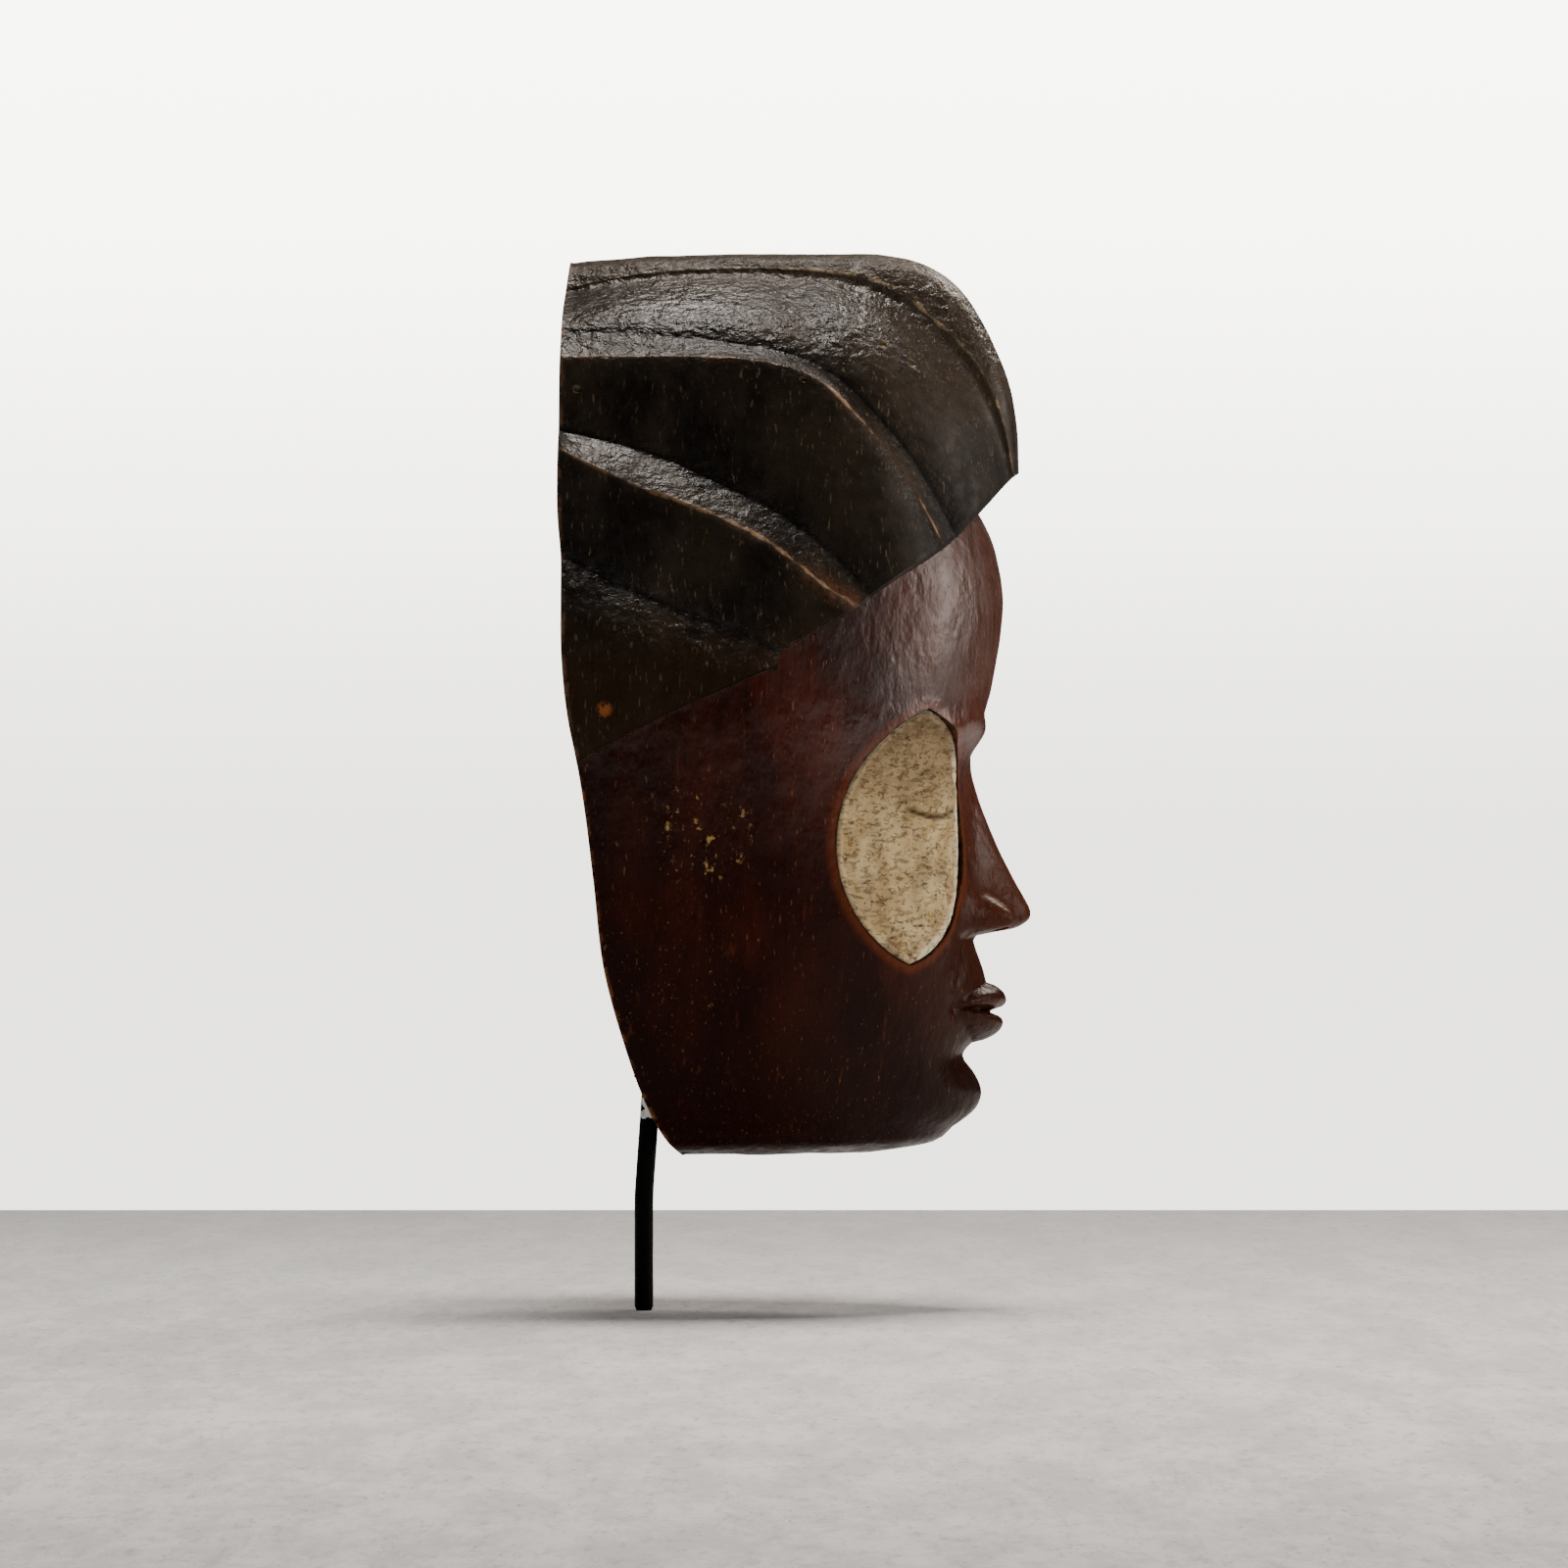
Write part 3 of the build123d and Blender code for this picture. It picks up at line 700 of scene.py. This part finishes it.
spots = points_of(block)
panel_gap = np.full(len(spots), FAR)
for side in (-1, 1):
    a, b = on_panel(spots, side)
    near = np.abs(leaf_edge(a, b))
    near = np.where((spots[:, 0] * side > 5) & (spots[:, 1] < -40), near, FAR)
    panel_gap = np.minimum(panel_gap, near)
free = ~fixed * ease(panel_gap, 0.3, 6.0)
hand = 0.42 * waves(spots * (1, 1, 0.75), 15.0, 2.0) + 0.14 * waves(spots, 6.0, 6.0) - 0.28
# the shallow dip between the upper lobe's two swells
off_middle, back, height = np.abs(spots[:, 0]), spots[:, 1], spots[:, 2]
saddle = hill(back, -51 + 0.6 * (height - 310), 6.5) * hill(height, 310, 12) * (off_middle > 18)
spots = spots + normals_of(block) * (hand * free - 1.4 * saddle)[:, None]
low, high = np.array(cad_box[0]) / MM + 0.05, np.array(cad_box[1]) / MM - 0.05
spots = np.clip(spots, low, high)
place_points(block, spots)


def line_gap(lines):
    """Distance in millimetres from each point of the block to the nearest of some carved lines."""
    folded = spots.copy()
    folded[:, 0] = np.abs(folded[:, 0])
    gap = np.full(len(folded), FAR)
    for line in lines:
        for start, end in zip(line[:-1], line[1:]):
            span = end - start
            part = np.clip((folded - start) @ span / (span @ span), 0, 1)
            gap = np.minimum(gap, np.linalg.norm(folded - start - part[:, None] * span, axis=1))
    return gap


def back_edge():
    """The outline of the back rim on the left side, as points in space."""
    heights = np.linspace(51, 331, 90)
    rim = np.array(RIM_LINE[::-1])
    y = np.interp(heights, rim[:, 1], rim[:, 0])
    face_half = smooth_table(FACE_ROWS, np.minimum(heights, HAIR_Z))[:, 0]
    hair_half = np.interp(
        heights,
        [170, 218.5, 223, 231.5, 238.6, 263.2, 271.2, 275, 297.2, 305.6, 318, 328.5, 332],
        [74.2, 72.0, 69, 65.5, 65.2, 64.2, 56.5, 55.5, 54.0, 46.5, 19.5, 12, 0],
    )
    half = np.where(heights < 169, face_half, hair_half)
    return np.column_stack((half, y, heights))


GAPS = {
    "ridge_gap": [hair_line(name, 36) for name in ("ridge_1", "ridge_2")],
    "crest_gap": [hair_line("crest", 36)],
    "groove_gap": [hair_line(name, 36) for name in ("groove_1", "groove_2", "groove_3")],
    "hairline_gap": [hair_line("hairline", 24)],
    "rim_gap": [back_edge()],
}
ledges = [
    line_gap([hair_line(f"groove_{number}", 24)]) + line_gap([hair_line(f"ridge_{number}", 24)])
    for number in (1, 2, 3)
]
# patches where hands have polished the wax: two swells and the turn of the crest, and the lowest ledge
back, height = spots[:, 1], spots[:, 2]
polished = [
    hill(back, -12, 21) * hill(height, 316, 7),
    hill(back, -71, 11) * hill(height, 312, 8),
    hill(back, -91, 6) * hill(height, 318, 6),
    0.9 * hill(back, -14, 26) * hill(height, 219 + 0.45 * (back + 12), 6),
]
block_marks = {name: line_gap(lines) for name, lines in GAPS.items()}
block_marks["panel_gap"] = panel_gap
block_marks["ledge_gap"] = np.minimum.reduce(ledges)
block_marks["polished"] = np.maximum.reduce(polished)
mark_points(block, block_marks)


# ------------------------------------------------------------------ materials
def shade(code):
    """An sRGB hex colour as linear values."""
    parts = [int(code[i : i + 2], 16) / 255 for i in (1, 3, 5)]
    return tuple(c / 12.92 if c <= 0.04045 else ((c + 0.055) / 1.055) ** 2.4 for c in parts) + (1,)


def plug(tree, node, links):
    """Gives inputs of a node, by name or number, each a value or another node's output."""
    for key, value in links.items():
        if isinstance(value, bpy.types.NodeSocket):
            tree.links.new(value, node.inputs[key])
        else:
            node.inputs[key].default_value = value


def add(tree, kind, links=None, **settings):
    """Adds a node with its settings and inputs."""
    made = tree.nodes.new("ShaderNode" + kind)
    for key, value in settings.items():
        setattr(made, key, value)
    plug(tree, made, links or {})
    return made


def start_material(name):
    made = bpy.data.materials.new(name)
    made.use_nodes = True
    made.node_tree.nodes.clear()
    tree = made.node_tree
    surface = add(tree, "BsdfPrincipled")
    add(tree, "OutputMaterial", {"Surface": surface.outputs[0]})
    return made, tree, surface


def grain(tree, size, stretch=(1, 1, 1), detail=3.0, rough=0.55):
    """Noise from 0 to 1 with lumps of a size in millimetres, drawn out along an axis."""
    place = add(tree, "TexCoord").outputs["Object"]
    scale = tuple(s / (size * MM) for s in stretch)
    laid = add(tree, "Mapping", {"Vector": place, "Scale": scale}).outputs[0]
    return add(tree, "TexNoise", {"Vector": laid, "Scale": 1.0, "Detail": detail, "Roughness": rough}).outputs[0]


def share(tree, *parts):
    """The product of parts. A part is a number, a node's output, the name of a value kept on the points, or
    (source, low, high, to low, to high): a source drawn out smoothly between limits, where "X", "Y" and "Z"
    are places on the object in millimetres."""
    product = None
    for part in parts:
        source, *limits = part if isinstance(part, tuple) else (part,)
        unit = 1
        if isinstance(source, str) and source in "XYZ":
            unit = MM
            source = add(tree, "SeparateXYZ", {0: add(tree, "TexCoord").outputs["Object"]}).outputs[source]
        elif isinstance(source, str):
            source = add(tree, "Attribute", attribute_name=source).outputs["Fac"]
        if limits:
            low, high, to_low, to_high = limits if len(limits) == 4 else (*limits, 0.0, 1.0)
            links = {"Value": source, "From Min": low * unit, "From Max": high * unit}
            links |= {"To Min": to_low, "To Max": to_high}
            source = add(tree, "MapRange", links, interpolation_type="SMOOTHSTEP").outputs[0]
        if product is None:
            product = source
        else:
            product = add(tree, "Math", {0: product, 1: source}, operation="MULTIPLY").outputs[0]
    return product


A, B, MIXED = 6, 7, 2  # sockets of a colour mix


def layered(tree, under, *coats):
    """A colour with others laid over it in turn, each (colour, part, ...) by the share of its parts."""
    if isinstance(under, str):
        under = shade(under)
    for over, *parts in coats:
        if isinstance(over, str):
            over = shade(over)
        under = add(tree, "Mix", {0: share(tree, *parts), A: under, B: over}, data_type="RGBA").outputs[MIXED]
    return under


def spot(tree, place, radius):
    """1 inside a ball at a place in millimetres, fading to 0 at its radius."""
    here = add(tree, "TexCoord").outputs["Object"]
    away = add(tree, "VectorMath", {0: here, 1: Vector(place) * MM}, operation="DISTANCE").outputs["Value"]
    return share(tree, (away, radius * MM, radius * 0.55 * MM))


def relief(tree, *layers):
    """Bumps laid over each other, each a height from 0 to 1 and its depth in millimetres."""
    normal = None
    for height, depth in layers:
        links = {"Height": height, "Distance": depth * MM, "Strength": 1.0}
        if normal is not None:
            links["Normal"] = normal
        normal = add(tree, "Bump", links).outputs[0]
    return normal


def oiled_face_wood():
    """Dense hardwood stained red-brown and rubbed with oil: a deep colour, darker at the back and
    under the jaw, a soft gloss broken by fine ripples of the blade, and short upright pores."""
    made, tree, surface = start_material("oiled_red_brown_hardwood")
    pore = share(tree, (grain(tree, 0.8, (1, 1, 0.2), 2.0), 0.66, 0.74))
    ears = {0: spot(tree, (-69, -18, 149), 24), 1: spot(tree, (-65, -6, 108), 30)}
    dusty = add(tree, "Math", ears, operation="MAXIMUM").outputs[0]
    colour = layered(
        tree,
        "#260a05",
        ("#491b0e", (grain(tree, 26, (1, 1, 0.5)), 0.35, 0.68)),
        ("#583222", ("Y", -70, -112, 0, 0.6)),
        ("#140603", ("Z", 150, 62, 0, 0.85)),
        ("#1c0905", ("Y", -30, 20, 0, 0.6)),
        ("#170805", (grain(tree, 1.6, (1, 1, 0.06), 4.0), 0.54, 0.70, 0, 0.5)),
        ("#6b331c", (grain(tree, 2.4, (1, 1, 0.10), 4.0), 0.60, 0.78, 0, 0.35)),
        ("#9a6a45", pore, 0.35),
        # warm wood shows where the panel's edge was cut back, dark wax sits in the gap
        ("#8a4217", ("panel_gap", 4.0, 0.8, 0, 0.3)),
        ("#140a06", ("panel_gap", 0.7, 0.25), (grain(tree, 5, (1, 1, 1), 4.0), 0.35, 0.55, 0.35, 0.9)),
        # painted shadow under the edge of the hair, along the hairline
        ("#0f0705", ("hairline_gap", 2.2, 0.4, 0, 0.9)),
        # handling has worn the rim
        ("#8a5a34", ("rim_gap", 1.5, 0.2), (grain(tree, 4), 0.42, 0.6), 0.6),
        # clay dust caught in the surface behind the cheek
        ("#b79a5c", (grain(tree, 3.2, (1, 1, 0.8), 5.0, 0.7), 0.60, 0.65), spot(tree, (-70, -19, 150), 19), 0.8),
        ("#8f7440", (grain(tree, 1.3, (1, 1, 1), 5.0, 0.7), 0.63, 0.68), dusty, 0.6),
    )
    rough = share(tree, (grain(tree, 5.0, (1, 1, 0.5), 4.0), 0.3, 0.72, 0.25, 0.40))
    brow = share(tree, ("Z", 180, 215, 0, 0.08))
    look = {
        "Base Color": colour,
        "Roughness": add(tree, "Math", {0: rough, 1: brow}, operation="ADD").outputs[0],
        # the oil lies thick on the brow and has gone from the lower half
        "Specular IOR Level": share(tree, ("Z", 125, 210, 0.08, 0.68), ("Y", -30, -70, 0.45, 1.0)),
        "Normal": relief(
            tree, (grain(tree, 4.2, (1, 1, 0.7), 2.0), 0.5), (grain(tree, 1.1, (1, 1, 0.35), 3.0), 0.1), (pore, -0.05)
        ),
    }
    plug(tree, surface, look)
    return made


def blackened_hair_wood():
    """The same wood charred and blackened, then waxed: almost black, with a grey rippled gloss on the
    ledges that face up, thin brown lines where the ridges are rubbed, and tan flecks of bare grain."""
    made, tree, surface = start_material("blackened_waxed_hardwood")
    forward = share(tree, ("Y", -50, -104))
    fleck = share(tree, (grain(tree, 0.95, (1, 1, 0.2), 3.0, 0.6), 0.60, 0.70))
    brown = layered(tree, "#261f18", ("#50463a", (grain(tree, 1.1, (1, 0.07, 1), 4.0), 0.38, 0.66)))
    colour = layered(
        tree,
        "#130f0b",
        ("#29221a", (grain(tree, 22, (1, 1, 0.6)), 0.36, 0.68)),
        # rubbed brown towards the top and the front of the crest
        (brown, ("Z", 312, 328, 0, 0.8)),
        ("#2c1d12", ("Z", 222, 196, 0, 0.75)),
        ("#3f362d", forward, ("Z", 264, 292), 0.55),
        # upright flecks of bare grain, and bruises
        ("#7d6c52", fleck, (grain(tree, 13), 0.38, 0.6, 0.2, 1.0), 0.5),
        ("#4c3a28", (grain(tree, 2.6, (1, 1, 0.7), 5.0, 0.7), 0.66, 0.73), 0.6),
    )
    # lines rubbed bare along the ridges, wandering a little and broken
    wander = share(tree, (grain(tree, 7, (1, 1, 1), 3.0), 0.3, 0.7, -0.5, 0.5))
    broken = share(tree, (grain(tree, 6.5, (1, 1, 1), 5.0, 0.75), 0.40, 0.58, 0.35, 1.0))
    front = share(tree, ("Y", 4, -45, 0.35, 1.0))
    for name, bare, halo in (("ridge_gap", "#957a5c", "#3c2b1f"), ("crest_gap", "#988768", "#4c4033")):
        away = add(tree, "Math", {0: share(tree, name), 1: wander}, operation="ADD").outputs[0]
        glow = halo, (away, 3.0, 0.5), broken, front, 0.6
        line = bare, (away, 0.8, 0.25), broken, front, 0.75
        colour = layered(tree, colour, glow, line)
    rubbed = ("ridge_gap", 6.0, 0.8), (grain(tree, 3.0, (1, 1, 0.4)), 0.3, 0.6), 0.55
    colour = layered(
        tree,
        colour,
        ("#56341f", spot(tree, (-63, -60, 224), 15), *rubbed),
        # painted shade in the grooves and along the hairline, a worn rim, a chip down to the brown, painted highlights
        # in the knocks
        ("#0a0807", ("groove_gap", 2.4, 0.3, 0, 0.8)),
        ("#080605", ("hairline_gap", 1.0, 0.2, 0, 0.9)),
        ("#6b4f3a", ("rim_gap", 1.8, 0.2), (grain(tree, 6), 0.40, 0.6), 0.7),
        ("#8a5228", spot(tree, (-72.6, 11, 188), 3.2), (grain(tree, 2.2, (1, 1, 1), 4.0, 0.7), 0.42, 0.5)),
        *[("#968a6c", spot(tree, place, size * 1.1), 0.7) for place, size in dent_places],
    )
    # the wax is dull at the bottom, and polished where hands hold the mask
    polish = share(tree, "polished", (grain(tree, 6, (1, 1, 1), 4.0), 0.3, 0.55, 0.6, 1.0))
    dull = share(tree, ("Z", 194, 212, 0.12, 0.22))
    rough = share(tree, (grain(tree, 4.0, (1, 1, 1), 4.0), 0.3, 0.7, 0.24, 0.42))
    on_top = share(tree, ("Z", 319, 327, 0, 0.10))
    low_front = share(tree, forward, ("Z", 292, 262), 0.22)
    for more in (on_top, low_front, share(tree, polish, -0.08)):
        rough = add(tree, "Math", {0: rough, 1: more}, operation="ADD").outputs[0]
    # the blade's ripples are left on the ledges and the upper lobe
    ledge = share(tree, ("ledge_gap", 24.0, 13.0, 0.10, 0.5))
    lobe = share(tree, ("Z", 280, 306))
    rippled = add(tree, "Math", {0: ledge, 1: lobe}, operation="MAXIMUM").outputs[0]
    layers = [(fleck, -0.04)]
    ripple = grain(tree, 3.4, (1, 0.7, 1), 3.0, 0.55)
    crinkle = grain(tree, 1.2, (1, 0.7, 0.8), 3.0, 0.6)
    for height, depth in ((ripple, 1.4), (crinkle, 0.42)):
        level = add(tree, "Math", {0: height, 1: 0.5}, operation="SUBTRACT").outputs[0]
        layers.append((share(tree, level, rippled), depth))
    look = {
        "Base Color": colour,
        "Roughness": rough,
        "Specular IOR Level": add(tree, "Math", {0: polish, 1: 0.45, 2: dull}, operation="MULTIPLY_ADD").outputs[0],
        "Normal": relief(tree, *layers),
    }
    plug(tree, surface, look)
    return made


def raw_hollow_wood():
    """The same wood left unstained inside and along the back rim: dry and brown, cut across by the
    gouge, handled darker towards the top."""
    made, tree, surface = start_material("unstained_hollowed_hardwood")
    streak = grain(tree, 1.3, (1, 1, 0.05), 4.0)
    look = {
        "Base Color": layered(
            tree,
            "#4a2f1c",
            ("#7a5536", (grain(tree, 18, (1, 1, 0.5)), 0.35, 0.66)),
            ("#2e1c10", (streak, 0.50, 0.72, 0, 0.7)),
            ("#8f6c48", (grain(tree, 2.6, (1, 1, 0.09), 4.0), 0.58, 0.78, 0, 0.5)),
            ("#20140c", ("Z", 225, 300, 0, 0.55)),
            ("#1d130c", (grain(tree, 30), 0.45, 0.7), 0.6),
        ),
        "Roughness": share(tree, (streak, 0.3, 0.7, 0.62, 0.82)),
        "Normal": relief(tree, (streak, 0.12), (grain(tree, 3.2, (1, 1, 0.3)), 0.2)),
    }
    plug(tree, surface, look)
    return made


def kaolin_clay():
    """White clay rubbed into the recess and yellowed with handling: matt, cracked and pitted across,
    with brown in the pits, a scuffed pale rim carrying a painted highlight, and darker towards the top."""
    made, tree, surface = start_material("yellowed_kaolin_clay")
    crack = share(tree, (grain(tree, 1.9, (0.75, 0.45, 1.5), 5.0, 0.74), 0.525, 0.61))
    pit = share(tree, (grain(tree, 2.4, (0.8, 0.7, 1.2), 4.0, 0.65), 0.60, 0.68))
    broken = grain(tree, 4.0, (1, 1, 1), 4.0, 0.7), 0.36, 0.54
    look = {
        "Base Color": layered(
            tree,
            "#b69c6e",
            ("#d0bb8c", (grain(tree, 9), 0.36, 0.62)),
            ("#9c8b6c", (grain(tree, 14, (1, 1, 1), 4.0), 0.47, 0.66, 0, 0.8)),
            ("#806d4f", ("Z", 146, 182, 0, 0.9)),
            # brown in the cracks and pits, pale chips between them
            ("#6b5130", crack, (grain(tree, 7), 0.36, 0.62, 0.25, 0.75)),
            ("#4a3520", pit, 0.75),
            ("#e6d6ab", (grain(tree, 0.9, (1, 1, 1), 3.0), 0.64, 0.72), 0.55),
            # darker at the top, at the foot and round the edge
            ("#5e4a2c", ("edge_gap", 9.0, 1.0), ("high", 0.2, 0.9), 0.75),
            ("#4f3a20", ("high", -0.72, -0.92), (grain(tree, 3), 0.35, 0.6), 0.8),
            ("#1d130b", ("edge_gap", 0.8, 0.2, 0, 0.9)),
            # the scuffed rim with a painted highlight, brightest low at the front, and painted shade in the closed
            # eye's slit
            ("#f3e9c4", ("edge_gap", 3.4, 2.0), broken, ("front_low", 0.1, 0.5, 0.12, 1.0)),
            ("#3b2a18", "lash", 0.85),
        ),
        "Roughness": 0.82,
        "Specular IOR Level": 0.3,
        "Normal": relief(tree, (grain(tree, 3.0), 0.25), (crack, -0.22), (pit, -0.3), (grain(tree, 0.8), 0.1)),
    }
    plug(tree, surface, look)
    return made


def plain_finish(name, low, high, size, rough, depth, metal=0.0, stretch=(1, 1, 1), sheen=0.0):
    """A finish that varies between two colours and two roughnesses, with fine relief."""
    made, tree, surface = start_material(name)
    look = {
        "Base Color": layered(tree, low, (high, (grain(tree, size, stretch, 4.0), 0.36, 0.64))),
        "Roughness": share(tree, (grain(tree, size * 0.6), 0.3, 0.7, *rough)),
        "Normal": relief(tree, (grain(tree, size * 0.5, stretch), depth)),
        "Metallic": metal,
        "Sheen Weight": sheen,
    }
    plug(tree, surface, look)
    return made


woods = (oiled_face_wood(), blackened_hair_wood(), raw_hollow_wood())
block.data.materials.clear()
for wood in woods:
    block.data.materials.append(wood)
block.data.polygons.foreach_set("material_index", kind.astype(np.int32))
block.data.update()
smooth(block, 38)
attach(block, "root")
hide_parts("mask_body")

clay = kaolin_clay()
for side, name, node_name in ((-1, "clay_coat_right", "kaolin_right"), (1, "clay_coat_left", "kaolin_left")):
    coat = kaolin_coat(name, side)
    at = points_of(coat)
    a, b = on_panel(at, side)
    across, up = a - EYE_ACROSS, b - EYE_UP
    lash_up = lash_line(across)
    marks = {
        "edge_gap": leaf_edge(a, b),
        "high": b / LEAF_HALF_H,
        # where the clay's rim is scuffed and carries its painted highlight, brightest low at the front
        "front_low": ease(-a, -4, 12) * ease(-b, -34, -6),
        # where the closed eye's slit gets painted shade
        "lash": hill(up, lash_up, 0.8) * ease(14.4 - np.abs(across), 0, 2),
    }
    mark_points(coat, marks)
    coat.data.materials.append(clay)
    smooth(coat, 60)
    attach(coat, "root")
    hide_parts(node_name)


# ------------------------------------------------------------------ the rod and its fixings
def rod_piece():
    """Black painted steel rod: straight foot, one bend, a long lean into the mask."""
    rings = [np.array((0, 0, z)) for z in np.linspace(0, ROD_STRAIGHT, 26)]
    for turn in np.linspace(0, LEAN, 8)[1:-1]:
        rings.append(np.array((0, ROD_BEND_R * (math.cos(turn) - 1), ROD_STRAIGHT + ROD_BEND_R * math.sin(turn))))
    rings += [by_rod(0, 0, up) for up in np.linspace(0, ROD_UPPER, 120)]
    length = np.array([r[2] for r in rings])
    lean = np.clip((length - ROD_STRAIGHT) / 8.0, 0, 1) * LEAN
    sides = 36
    angle = np.linspace(0, 2 * np.pi, sides, endpoint=False)
    end_round = 0.55 * np.clip(1 - length / 0.9, 0, 1) ** 2 + 0.4 * np.clip(1 - (length[-1] - length) / 0.6, 0, 1)
    points = []
    for ring, tip, shrink in zip(rings, lean, end_round):
        x, v = np.cos(angle), np.sin(angle)
        around = np.column_stack((x, v * math.cos(tip), v * math.sin(tip)))
        lumps = 0.035 * waves(ring + around * ROD_R, 2.6, 4.0) + 0.05 * waves(ring + around * ROD_R, 9.0, 1.0)
        points.append(ring + around * (ROD_R - 0.07 - shrink + lumps)[:, None])
    rows = len(rings)
    faces = [
        (r * sides + c, r * sides + (c + 1) % sides, (r + 1) * sides + (c + 1) % sides, (r + 1) * sides + c)
        for r in range(rows - 1)
        for c in range(sides)
    ]
    faces += [tuple(range(sides)), tuple((rows - 1) * sides + c for c in reversed(range(sides)))]
    rod = make_piece("painted_rod", np.concatenate(points), faces)
    outward(rod)
    return rod


def glue_piece():
    """Blobs of glue run together between the rod and the rim of the mask."""
    bead = None
    for across, behind, up, size in GLUE_LUMPS:
        lump = ball(by_rod(-across, behind, up), (size, size * 0.95, size * 1.1), segments=24)
        if bead is None:
            bead = lump
        else:
            carve(bead, lump, "UNION")
    bead.name = "glue_run"
    finish_with(bead, "REMESH", mode="VOXEL", voxel_size=0.25 * MM)
    finish_with(bead, "SMOOTH", factor=0.6, iterations=6)
    at = points_of(bead)
    place_points(bead, at + normals_of(bead) * (0.16 * waves(at, 1.6, 3.0) - 0.05)[:, None])
    return bead


# black paint that hides the steel and gives back almost no light
rod_paint = plain_finish("matt_black_paint_on_steel", "#040404", "#0b0b0a", 2.2, (0.26, 0.42), 0.05)
rod_paint.node_tree.nodes["Principled BSDF"].inputs["Specular IOR Level"].default_value = 0.04
rod = rod_piece()
glue = glue_piece()
# old glue, yellow and half clear, with a wet shine
glue_look = plain_finish("dried_clear_glue", "#86722a", "#b3a25a", 2.4, (0.18, 0.4), 0.08)
glue_surface = glue_look.node_tree.nodes["Principled BSDF"]
glue_surface.inputs["Subsurface Weight"].default_value = 0.12
glue_surface.inputs["Subsurface Radius"].default_value = (0.002, 0.0015, 0.0008)
for piece, look, node_name, slot_name, bend in (
    (rod, rod_paint, "mount_rod", "black_rod", 40),
    (glue, glue_look, "glue_bead", "glue", 80),
):
    piece.data.materials.append(look)
    smooth(piece, bend)
    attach(piece, "root")
    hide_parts(node_name)

# CAD nodes whose shape is right as it is: cool soft shine of zinc, felt that drinks the light, warm brass
CARRIED = {
    "saddle_clip": plain_finish(
        "zinc_plated_spring_steel", "#8d8f8e", "#a9aaa6", 1.8, (0.28, 0.46), 0.02, metal=1.0, stretch=(1, 4, 1)
    ),
    "felt_liner": plain_finish("pressed_wool_felt", "#1d1d20", "#2f2f33", 0.8, (0.9, 1.0), 0.18, sheen=0.5),
    "clip_screws": plain_finish("turned_brass", "#9a7b3a", "#bb9a55", 1.2, (0.26, 0.44), 0.02, metal=1.0),
    "socket_glue": glue_look,
}
for node_name, look in CARRIED.items():
    for node in [o for o in bpy.data.objects if o.type == "MESH" and o.name.split(".")[0] == node_name]:
        for slot_now in node.material_slots:
            slot_now.material = look

# ------------------------------------------------------------------ stage, light
bpy.ops.mesh.primitive_plane_add(size=1, location=(0, 0, 0))
floor = bpy.context.object
floor.name = "floor"
floor.scale = (4.21, 5, 1)
floor.location = (-1.4, 0, 0)
bpy.ops.object.transform_apply()
# plain pale concrete: soft grey clouds, fine dark specks, and a painted fall-off of light that leaves it paler towards
# the camera
made, tree, surface = start_material("pale_concrete_floor")
DRAWN_OUT = (0.25, 1, 1)
speck = grain(tree, 2.0, DRAWN_OUT, 4.0, 0.7), 0.60, 0.66
patchy = grain(tree, 22, DRAWN_OUT, 4.0), 0.40, 0.62, 0.15, 0.6
colour = layered(
    tree,
    "#fdfdfd",
    ("#bcbebf", ("X", -900, 800)),
    ("#a4a6a8", (grain(tree, 30, DRAWN_OUT, 9.0, 0.8), 0.42, 0.60, 0.36, 0)),
    ("#8e9092", (grain(tree, 5.0, DRAWN_OUT, 6.0, 0.75), 0.50, 0.68, 0, 0.4)),
    ("#6e7072", speck, patchy),
)
plug(tree, surface, {"Base Color": colour, "Roughness": 0.8})
floor.data.materials.append(made)


def area_light(name, place, aim, size, watts, tint_code="#ffffff"):
    bpy.ops.object.light_add(type="AREA", location=place)
    lamp = bpy.context.object
    lamp.name = name
    lamp.rotation_euler = (Vector(aim) - Vector(place)).to_track_quat("-Z", "Y").to_euler()
    lamp.data.shape = "DISK"
    lamp.data.size = size
    lamp.data.energy = watts
    lamp.data.color = shade(tint_code)[:3]


area_light("overhead", (-0.02, -0.13, 1.6), (0, -0.04, 0.2), 0.55, 29, "#fff6ee")
area_light("front", (-0.2, -1.6, 0.55), (0, -0.06, 0.2), 0.9, 14, "#fff0e6")
area_light("far_corner", (0.9, -0.7, 1.1), (0, -0.08, 0.28), 0.5, 10, "#fff2e4")
area_light("back", (0.9, 1.5, 1.0), (0, 0, 0.2), 1.0, 6)

world = bpy.data.worlds.new("studio")
bpy.context.scene.world = world
world.use_nodes = True
tree = world.node_tree
tree.nodes.clear()
height = add(tree, "SeparateXYZ", {0: add(tree, "TexCoord").outputs["Generated"]}).outputs["Z"]
bright = share(tree, (height, -0.01, 0.085, 3.3, 9.0))
wall = add(tree, "Background", {"Color": shade("#f6f4eb"), "Strength": bright})
room = add(tree, "Background", {"Color": shade("#f3efe9"), "Strength": 0.04})
seen = add(tree, "LightPath").outputs["Is Camera Ray"]
both = add(tree, "MixShader", {0: seen, 1: room.outputs[0], 2: wall.outputs[0]})
add(tree, "OutputWorld", {"Surface": both.outputs[0]})
